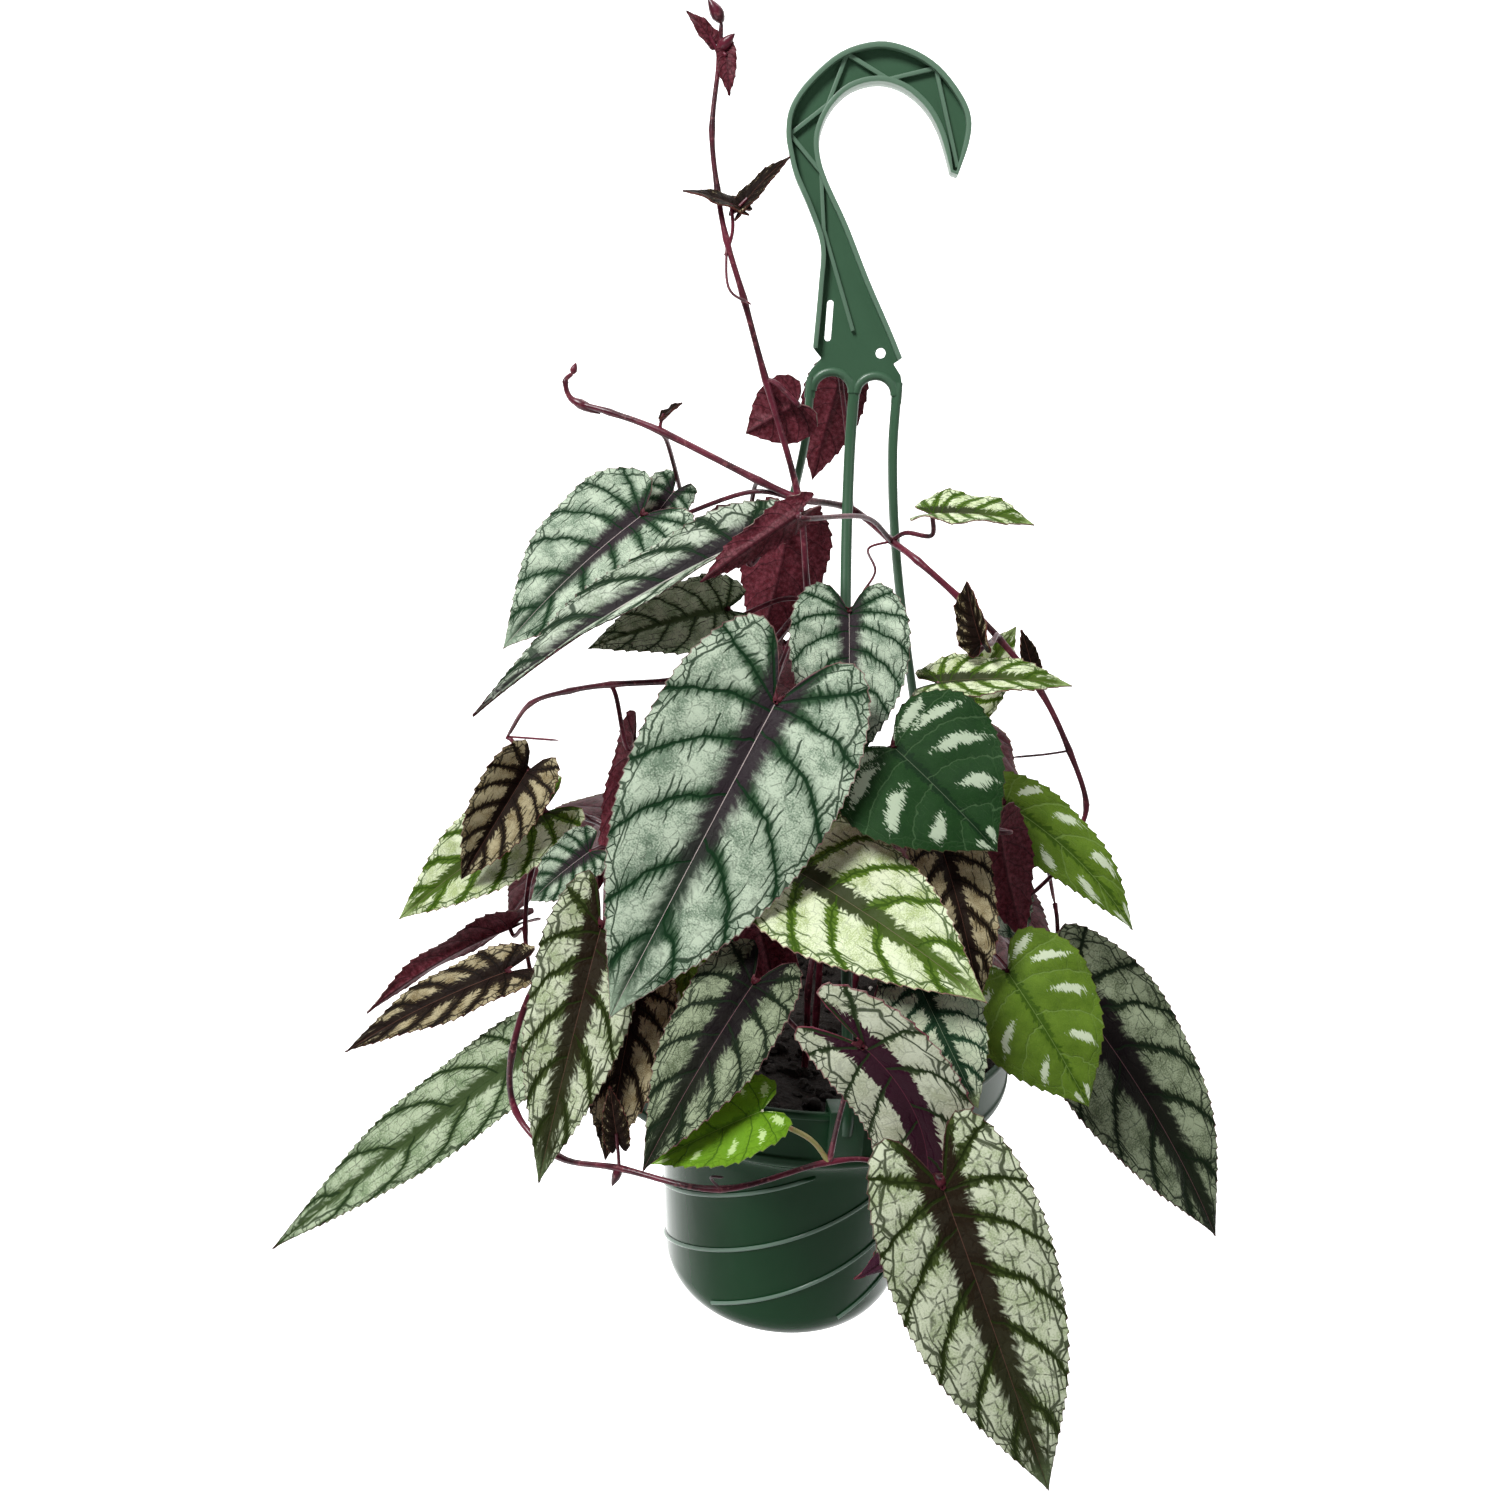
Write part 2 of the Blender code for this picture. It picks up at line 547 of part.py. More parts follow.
def box_between(name, corners_low, corners_high, azimuth):
    """A box given by its tangent, radial and height ranges, turned to an azimuth."""
    verts = []
    for z in (corners_low[2], corners_high[2]):
        for t, r in ((corners_low[0], corners_low[1]), (corners_high[0], corners_low[1]),
                     (corners_high[0], corners_high[1]), (corners_low[0], corners_high[1])):
            x = r * math.sin(azimuth) + t * math.cos(azimuth)
            y = -r * math.cos(azimuth) + t * math.sin(azimuth)
            verts.append((x, y, z))
    faces = [(0, 1, 2, 3), (4, 7, 6, 5), (0, 4, 5, 1), (1, 5, 6, 2), (2, 6, 7, 3), (3, 7, 4, 0)]
    item = add_object(name, verts, faces)
    fix_normals(item)
    return item


def strap_pieces(index):
    """A strap, the pad on the band and the hook over the rim."""
    azimuth = math.radians(STRAP_AZIMUTHS[index])
    path = strap_path(index)
    tangent = (math.cos(azimuth), math.sin(azimuth), 0)
    strap = tube("strap", path, [STRAP_WIDTH / 2 * 1.1] * len(path), 6,
                 flat=STRAP_THICKNESS / STRAP_WIDTH, side_hint=tangent)
    half = CLIP_WIDTH / 2
    inner = BAND_RADIUS + 0.9 + 0.5
    top = BAND_TOP + 2.2
    pad = box_between("pad", (-half, inner, top - CLIP_HEIGHT), (half, inner + CLIP_THICKNESS, top),
                      azimuth)
    over = box_between("over", (-half, BAND_RADIUS - WALL - 4.0, BAND_TOP + 0.4),
                       (half, inner + 0.5, top), azimuth)
    catch = box_between("catch", (-half, BAND_RADIUS - WALL - 4.0, BAND_TOP - 4.5),
                        (half, BAND_RADIUS - WALL - 2.2, BAND_TOP + 1.0), azimuth)
    return [strap, pad, over, catch]


def make_hanger(material):
    outer, inner = hook_outline()
    shoulder = [(-11.6, -85.6), (-14.8, -89.6), (-16.3, -93.6), (-16.4, -99.0), (-12.8, -99.0)]
    left_arch = list(reversed(arch(-12.8, -1.2, -97.0, 5.8, 6)))
    right_arch = list(reversed(arch(2.4, 13.5, -97.0, 5.4, 6)))
    middle = [(-1.2, -99.0), (2.4, -99.0)]
    right = [(13.5, -99.0), (17.1, -99.0), (17.0, -93.6), (16.0, -89.6), (13.2, -86.0)]
    plate = outer + shoulder + left_arch + middle + right_arch + right + inner
    plate = remove_repeats(plate)
    web = flat_plate("hanger", plate, -WEB / 2, WEB / 2)
    ring = remove_repeats(outer + inner)
    walls = [TIP_WALL] + [FLANGE_WALL] * (len(ring) - 2) + [TIP_WALL]
    inside = inset_outline(ring, walls)
    parts = []
    half = FLANGE_DEPTH / 2
    count = len(ring)
    verts = []
    for y in (-half, half):
        verts += [(x, y, z) for x, z in ring]
        verts += [(x, y, z) for x, z in inside]
    faces = []
    for k in range(count):
        n = (k + 1) % count
        faces.append((k, n, count + n, count + k))
        faces.append((2 * count + k, 3 * count + k, 3 * count + n, 2 * count + n))
        faces.append((k, 2 * count + k, 2 * count + n, n))
        faces.append((count + k, count + n, 3 * count + n, 3 * count + k))
    flange = add_object("flange", verts, faces)
    fix_normals(flange)
    parts.append(flange)
    zigzag = ((-10.6, 7.8), (-15.6, -7.2), (-27.2, -16.6), (-16.2, -27.5), (-13.9, -45.0),
              (-1.8, -75.5))
    second = ((-10.6, 7.8), (3.2, 1.0), (18.0, 5.0), (27.8, -23.0))
    for chain in (zigzag, second):
        for a, b in zip(chain, chain[1:]):
            parts.append(rib(a, b))
    for k in range(3):
        parts += strap_pieces(k)
    combine(web, parts, "UNION", material)
    x, z0, z1, width = SLOT
    slot = flat_plate("slot", ((x - width / 2, z0), (x + width / 2, z0), (x + width / 2, z1),
                               (x - width / 2, z1)), -6, 6)
    hx, hz, hr = HOLE
    hole = tube("hole", ((hx, -6, hz), (hx, 6, hz)), [hr, hr], 8)
    combine(web, [slot, hole], "DIFFERENCE", material)
    finish(web, 35)


def remove_repeats(outline):
    result = []
    for point in outline:
        if not result or (Vector(point) - Vector(result[-1])).length > 0.05:
            result.append(point)
    return result


def rib(a, b):
    """A thin stiffening rib between two points of the hook's web."""
    start = Vector(a)
    end = Vector(b)
    along = (end - start).normalized()
    start -= along * 0.8
    end += along * 0.8
    side = Vector((-along.y, along.x)) * 0.7
    outline = [start - side, end - side, end + side, start + side]
    return flat_plate("rib", [tuple(p) for p in outline], -RIB_DEPTH / 2, RIB_DEPTH / 2)


def facing(angles):
    azimuth, height = [math.radians(a) for a in angles]
    return Vector((math.sin(azimuth) * math.cos(height), -math.cos(azimuth) * math.cos(height),
                   math.sin(height)))


def outline_at(share):
    """Across, along and vein start on the half outline at a share of its points."""
    place = share * (len(OUTLINE) - 1)
    i = min(int(place), len(OUTLINE) - 2)
    t = place - i
    across = OUTLINE[i][0] * (1 - t) + OUTLINE[i + 1][0] * t
    along = OUTLINE[i][1] * (1 - t) + OUTLINE[i + 1][1] * t
    start = VEIN_START[i] * (1 - t) + VEIN_START[i + 1] * t
    return across, along, start


def outward(share0, share1, half_width, length):
    """The direction out of the blade between two shares of the half outline."""
    across0, along0, _ = outline_at(share0)
    across1, along1, _ = outline_at(share1)
    ahead = Vector(((across1 - across0) * half_width, (along1 - along0) * length)).normalized()
    return ahead.y, -ahead.x


def flat_grid(rows, half_width, length, tooth):
    """Points and triangles of a flat blade: across and along, in millimetres."""
    places = {}
    points = []
    triangles = []
    border = {1: [], -1: []}

    def index(x, y):
        key = (round(x, 3), round(y, 3))
        if key not in places:
            places[key] = len(points)
            points.append((x, y))
        return places[key]

    def add(side, a, b, c):
        if len({a, b, c}) == 3:
            triangles.append((a, b, c) if side > 0 else (a, c, b))

    for side in (1, -1):
        lines = []
        for i in range(rows + 1):
            across, along, start = outline_at(i / rows)
            edge_x = max(0.0, across * half_width - (tooth * 0.4 if 0 < i < rows else 0)) * side
            edge_y = along * length
            root_y = start * length
            lines.append((index(0, root_y),
                          index(edge_x * 0.52, root_y * 0.48 + edge_y * 0.52),
                          index(edge_x, edge_y)))
        for i in range(rows):
            across, along, start = outline_at((i + 0.55) / rows)
            step = tooth if 0 < i < rows - 1 else 0.0
            out_x, out_y = outward(i / rows, (i + 1) / rows, half_width, length)
            tip = index((across * half_width + out_x * step) * side, along * length + out_y * step)
            a0, b0, c0 = lines[i]
            a1, b1, c1 = lines[i + 1]
            add(side, a0, b0, b1)
            add(side, a0, b1, a1)
            add(side, b0, c0, tip)
            add(side, b0, tip, b1)
            add(side, b1, tip, c1)
            border[side] += [c0, tip]
        border[side].append(lines[-1][2])
    loop = border[1] + list(reversed(border[-1]))[1:-1]
    return points, triangles, loop


def shaped(x, y, row, length, half_width):
    """A point of the blade in its own frame, folded, waved, drooped and curled."""
    share = y / length
    edge = x / half_width
    lift = row["fold"] * abs(x)
    lift += row["wave"] * math.sin(share * 11.0 + (1.7 if x > 0 else 0.4)) * edge * edge
    lift += 0.5 * row["wave"] * math.sin(share * 5.0 + 1.0) * edge
    if row["curl"]:
        radius = half_width / math.radians(row["curl"])
        angle = x / radius
        x = radius * math.sin(angle)
        lift -= radius * (1 - math.cos(angle))
    twist = math.radians(row["twist"]) * share
    x, lift = x * math.cos(twist) - lift * math.sin(twist), x * math.sin(twist) + lift * math.cos(twist)
    bend = math.radians(row["droop"]) * share
    sweep = math.radians(row["sweep"]) * share
    total = math.radians(row["droop"])
    swept = math.radians(row["sweep"])
    down = arc_drop(y, length, total)
    ahead = arc_reach(y, length, total)
    aside = arc_drop(y, length, swept)
    ahead -= y - arc_reach(y, length, swept)
    px = aside + x * math.cos(sweep)
    py = ahead - x * math.sin(sweep) + lift * math.sin(bend)
    pz = -down + lift * math.cos(bend)
    return Vector((px, py, pz))


def arc_reach(y, length, total):
    if abs(total) < 1e-4:
        return y
    return length / total * math.sin(total * y / length)


def arc_drop(y, length, total):
    if abs(total) < 1e-4:
        return 0.0
    return length / total * (1 - math.cos(total * y / length))


def blade_frame(row):
    """How a blade's own frame is turned, scaled and set in the world."""
    joint = Vector(row["joint"])
    chord = Vector(row["tip"]) - joint
    reach = chord.length
    half_width = row["width"] * reach
    own = shaped(0.0, reach, row, reach, half_width)
    scale = reach / own.length
    own_along = own.normalized()
    own_up = Vector((0, 0, 1))
    own_up = (own_up - own_along * own_up.dot(own_along)).normalized()
    own_side = own_along.cross(own_up)
    along = chord.normalized()
    up = facing(row["face"])
    up = (up - along * up.dot(along)).normalized()
    side = along.cross(up)

    def place(point):
        p = point * scale
        return joint + along * p.dot(own_along) + up * p.dot(own_up) + side * p.dot(own_side)

    return place, reach, half_width, up


def blade_mesh(row, rows=ROWS, tooth=TOOTH, thickness=BLADE):
    """Points and faces of a closed blade, its upper side first."""
    place, reach, half_width, up = blade_frame(row)
    tooth = min(tooth, TOOTH_SHARE * reach)
    flat, triangles, loop = flat_grid(rows, half_width, reach, tooth)
    upper = [place(shaped(x, y, row, reach, half_width)) for x, y in flat]
    normals = [Vector((0, 0, 0)) for _ in flat]
    for a, b, c in triangles:
        normal = (upper[b] - upper[a]).cross(upper[c] - upper[a])
        for k in (a, b, c):
            normals[k] += normal
    sign = 1.0 if sum((n.dot(up) for n in normals)) > 0 else -1.0
    lower = [p - n.normalized() * sign * thickness for p, n in zip(upper, normals)]
    count = len(flat)
    faces = [tuple(t) for t in triangles] + [(a + count, c + count, b + count) for a, b, c in triangles]
    for k, a in enumerate(loop):
        b = loop[(k + 1) % len(loop)]
        faces.append((a, b, b + count))
        faces.append((a, b + count, a + count))
    return upper + lower, faces, up


def make_blade(name, row, material=None, **detail):
    verts, faces, up = blade_mesh(row, **detail)
    item = add_object(name, verts, faces, material)
    fix_normals(item)
    finish(item, 60)
    return item


def vine_points(name):
    return [p for run in VINES[name] for p in run]


def petiole(row):
    """The leaf stalk, from its vine to just behind the blade's joint."""
    vine, number = row["stem"]
    start = Vector(vine_points(vine)[number])
    up = blade_frame(row)[3]
    joint = Vector(row["joint"])
    end = joint - up * (BLADE + PETIOLE_GAP)
    span = (end - start).length
    reach = min(9.0, span * 0.4)
    knee = end - up * reach
    rise = start + (knee - start) * 0.35 + Vector((0, 0, 0.10 * span))
    points = smooth_run((start, rise, knee, end), 2)
    radii = [PETIOLE_RADIUS] * (len(points) - 1) + [PETIOLE_RADIUS * 0.8]
    return tube("petiole", points, radii, PETIOLE_SIDES)


def bud(at, towards, length, radius):
    start = Vector(at)
    ahead = Vector(towards).normalized()
    stations = ((0.0, 0.35), (0.35, 1.0), (0.7, 0.7), (1.0, 0.15))
    points = [start + ahead * length * (s - 0.08) for s, _ in stations]
    return tube("bud", points, [radius * r for _, r in stations], 5)


def vine_radii(count):
    """Radii that thin towards a run's tip."""
    result = []
    for k in range(count):
        share = k / (count - 1)
        result.append(VINE_RADIUS + (VINE_TIP_RADIUS - VINE_RADIUS) * share ** 1.5)
    return result


def make_vine(name, material):
    parts = []
    for run in VINES[name]:
        parts.append(tube("run", run, vine_radii(len(run)), VINE_SIDES))
    parts += [petiole(row) for row in LEAVES if row["stem"][0] == name]
    for owner, points in TENDRILS:
        if owner == name:
            parts.append(tube("tendril", points, [TENDRIL_RADIUS] * len(points), 3))
    for owner, at, towards, length, radius in BUDS:
        if owner == name:
            parts.append(bud(at, towards, length, radius))
    for owner, node, joint, tip, face, width in YOUNG_LEAVES:
        if owner == name:
            row = leaf("young", (name, 0), joint, tip, face, width, droop=20, wave=0.6)
            parts.append(make_blade("young", row, rows=SMALL_ROWS, tooth=0.4, thickness=0.9))
            root = Vector(node)
            base = Vector(joint)
            stalk = (root, (root + base) / 2, base + (Vector(tip) - base) * 0.15)
            parts.append(tube("stalk", stalk, [0.7] * 3, 4))
    vine = parts[0]
    vine.name = "vine_" + name
    combine(vine, parts[1:], "UNION", material)
    finish(vine, 50)


def main():
    clear_scene()
    pot_green = make_material("pot_green", (0.010, 0.045, 0.022), 0.18)
    hanger_green = make_material("hanger_green", (0.025, 0.130, 0.065), 0.35)
    earth = make_material("soil", (0.020, 0.014, 0.010), 0.95)
    maroon = make_material("vine_maroon", (0.130, 0.015, 0.035), 0.45)
    make_pot(pot_green)
    make_soil(earth)
    make_hanger(hanger_green)
    for name in VINES:
        make_vine(name, maroon)
    for row in LEAVES:
        material = make_material(row["name"], GREENS[row["kind"]], 0.4)
        make_blade(row["name"], row, material)


main()
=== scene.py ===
import math
import random
from functools import partialmethod
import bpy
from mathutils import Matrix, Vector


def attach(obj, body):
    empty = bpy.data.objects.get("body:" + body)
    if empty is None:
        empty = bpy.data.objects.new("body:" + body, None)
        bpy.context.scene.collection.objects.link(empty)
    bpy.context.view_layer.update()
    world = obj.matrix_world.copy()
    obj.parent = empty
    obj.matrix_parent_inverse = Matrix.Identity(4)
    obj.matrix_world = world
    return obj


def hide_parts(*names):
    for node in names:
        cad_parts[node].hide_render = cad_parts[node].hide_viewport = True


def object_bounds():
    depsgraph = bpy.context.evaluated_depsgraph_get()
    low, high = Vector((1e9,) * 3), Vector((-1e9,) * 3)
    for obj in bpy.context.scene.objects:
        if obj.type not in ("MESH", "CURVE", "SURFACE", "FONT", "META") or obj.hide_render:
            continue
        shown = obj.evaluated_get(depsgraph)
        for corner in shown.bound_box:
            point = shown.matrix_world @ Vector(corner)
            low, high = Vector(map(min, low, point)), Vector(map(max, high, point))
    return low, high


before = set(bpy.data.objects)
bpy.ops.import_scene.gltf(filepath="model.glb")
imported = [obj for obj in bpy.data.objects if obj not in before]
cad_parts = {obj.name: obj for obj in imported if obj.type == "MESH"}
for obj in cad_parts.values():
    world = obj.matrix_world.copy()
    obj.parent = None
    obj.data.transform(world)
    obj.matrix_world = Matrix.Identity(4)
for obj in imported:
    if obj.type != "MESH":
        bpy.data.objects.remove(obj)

from types import SimpleNamespace

import bmesh
import bpy
import numpy as np
from mathutils import Matrix, Vector, noise

# The looks of a rex begonia vine in a green plastic hanging pot. Tables are in
# millimetres in the row's frame, where the hook's seat is the origin, +X is the
# viewer's right, -Y faces the viewer and +Z is up. MM turns them to metres.
MM = 0.001
CAD_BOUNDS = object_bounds()

# Camera: its place in metres, then its turns in degrees.
CAMERA_PLACE = (0.0, -0.4497, -0.0981)
CAMERA_PITCH = 15.975
CAMERA_YAW = 3.446
CAMERA_ROLL = 3.80
CAMERA_LENS = 30.0

# Floor and backdrop.
FLOOR_Z = -900.0
FLOOR_HALF = 4500.0
FRONT_Y = -4000.0
BACK_Y = 1300.0
BACK_BEND = 700.0
BACK_TOP = 3200.0

# Lights: name, place, target, width and height, all in metres, and watts.
LIGHTS = (
    ("key", (-0.75, -1.00, 1.05), (0.0, 0.0, -0.22), 0.5, 0.5, 31.0),
    ("fill", (1.1, -0.8, 0.35), (0.0, 0.0, -0.22), 0.7, 1.0, 2.5),
    ("top", (0.1, 0.3, 1.2), (0.0, 0.0, -0.22), 0.9, 0.9, 7.0),
    ("lower_left", (-0.541851, -0.338586, -0.847390), (0, 0, -0.40), 0.95, 0.7, 2.4),
)

# Pot, soil and hanger, as the solids have them.
BAND_RADIUS = 82.5
BAND_TOP = -326.6
BAND_FOOT = -348.6
BODY_TOP_RADIUS = 53.8
BODY_TOP_Z = -372.0
CREASE_RADIUS = 48.6
CREASE_Z = -439.4
BASE_RADIUS = 41.5
BASE_Z = -449.5
WALL = 1.6
POT_SIDES = 160
RIDGE_COUNT = 6
RIDGE_STEPS = 60
RIDGE_RADIUS = 0.9
RIDGE_FIRST_AZIMUTH = -151.0
RIDGE_RISE_PER_DEGREE = 38.0 / 90.0
DRAIN_RADIUS = 3.5
DRAIN_RING = 30.0
SOIL_TOP = -341.0
SOIL_DOME = 4
SOIL_REACH = 78.0
SOIL_BITS = (("soil_crumbs", 620, (1.2, 3.4)), ("soil_perlite", 46, (0.9, 1.9)))

# Hanger: web, raised edge, ribs, straps, clips, and the slot and hole in its plate.
WEB = 2.0
FLANGE_DEPTH = 8.0
FLANGE_WALL = 1.7
TIP_WALL = 0.8
HOOK_TIP = (27.2, -26.0)
RIB_DEPTH = 5.0
STRAP_AZIMUTHS = (-107.5, 12.5, 132.5)
STRAP_STARTS = (-14.6, 0.6, 15.3)
STRAP_WIDTH = 3.6
STRAP_THICKNESS = 2.6
STRAP_FALL = ((-92, 0.0), (-105, 0.0), (-117, 0.012), (-138, 0.065), (-163, 0.16), (-190, 0.29),
              (-225, 0.47), (-260, 0.65), (-290, 0.80), (-312, 0.93), (-326, 1.0), (-333, 1.0))
CLIP_WIDTH = 12.0
CLIP_HEIGHT = 17.0
CLIP_THICKNESS = 1.8
SLOT = (-9.9, -66.7, -80.0, 2.2)
HOLE = (8.5, -82.8, 1.7)
# The hook and its shank in X and Z: over the top from the tip, and back inside.
HOOK_OUTER = ((28.4, -26.3), (30.9, -16.5), (30.7, -9.0), (26.8, -2.2), (18.8, 5.5), (9.2, 10.1),
              (-1.1, 11.5), (-12.6, 8.0), (-22.4, -0.5), (-27.6, -8.5), (-28.5, -16.0), (-27.1, -22.6),
              (-24.7, -29.4), (-19.4, -39.0), (-14.6, -50.0), (-14.2, -62.0), (-14.6, -82.5))
HOOK_INNER = ((15.9, -84.0), (11.1, -75.0), (2.3, -59.4), (-6.0, -43.3), (-13.6, -30.5), (-16.8, -23.0),
              (-17.5, -16.0), (-14.6, -8.4), (-8.6, -2.5), (0.0, 0.0), (8.2, -1.6), (15.4, -6.4),
              (20.2, -12.4), (23.4, -19.0), (26.0, -25.6))
RIB_CHAINS = (((-10.6, 7.8), (-15.6, -7.2), (-27.2, -16.6), (-16.2, -27.5), (-13.9, -45.0), (-1.8, -75.5)),
              ((-10.6, 7.8), (3.2, 1.0), (18.0, 5.0), (27.8, -23.0)))
# The foot of the hook's plate: its two sides, and the arches between the straps.
PLATE_FOOT = -99.0
PLATE_LEFT = ((-11.6, -85.6), (-14.8, -89.6), (-16.3, -93.6), (-16.4, PLATE_FOOT))
PLATE_RIGHT = ((17.1, PLATE_FOOT), (17.0, -93.6), (16.0, -89.6), (13.2, -86.0))
ARCHES = ((-12.8, -1.2, 5.8), (2.4, 13.5, 5.4))

# Stems.
PETIOLE_RADIUS = 0.85
VINE_RADIUS = 1.25
VINE_TIP_RADIUS = 0.75
TENDRIL_RADIUS = 0.45
VINE_PIECES = 7
VINE_KNOTS = {0: 0.28, 1: 0.10, VINE_PIECES - 1: 0.10}
# A bud's radii along it, both as shares.
BUD_STATIONS = ((0.0, 0.35), (0.12, 0.7), (0.3, 1.0), (0.5, 0.95), (0.7, 0.70), (0.88, 0.38), (1.0, 0.12))

# Half outline of a blade, from the notch at its joint round the lobe to the tip.
# Across is a share of the half width, and along is a share of the length.
OUTLINE = (
    (0.00, 0.000), (0.13, -0.095), (0.33, -0.175), (0.56, -0.190), (0.78, -0.125),
    (0.94, 0.000), (1.00, 0.140), (0.99, 0.285), (0.91, 0.425), (0.76, 0.560),
    (0.56, 0.690), (0.35, 0.805), (0.17, 0.900), (0.06, 0.960), (0.00, 1.000),
)
# Where the side vein to each outline point leaves the midrib.
VEIN_START = (0, 0, 0, 0, 0, 0.0, 0.03, 0.09, 0.19, 0.32, 0.47, 0.62, 0.77, 0.89, 1.0)


def leaf(place, stem, node, joint, tip, face, width=0.30, kind="mint", **shape):
    """One row of the leaf table, with the usual values filled in."""
    usual = dict(fold=0.10, droop=25.0, sweep=0.0, wave=1.5)
    return SimpleNamespace(name="leaf_" + place, stem=stem, node=node, joint=joint, tip=tip, face=face,
                           width=width, kind=kind, **(usual | shape))


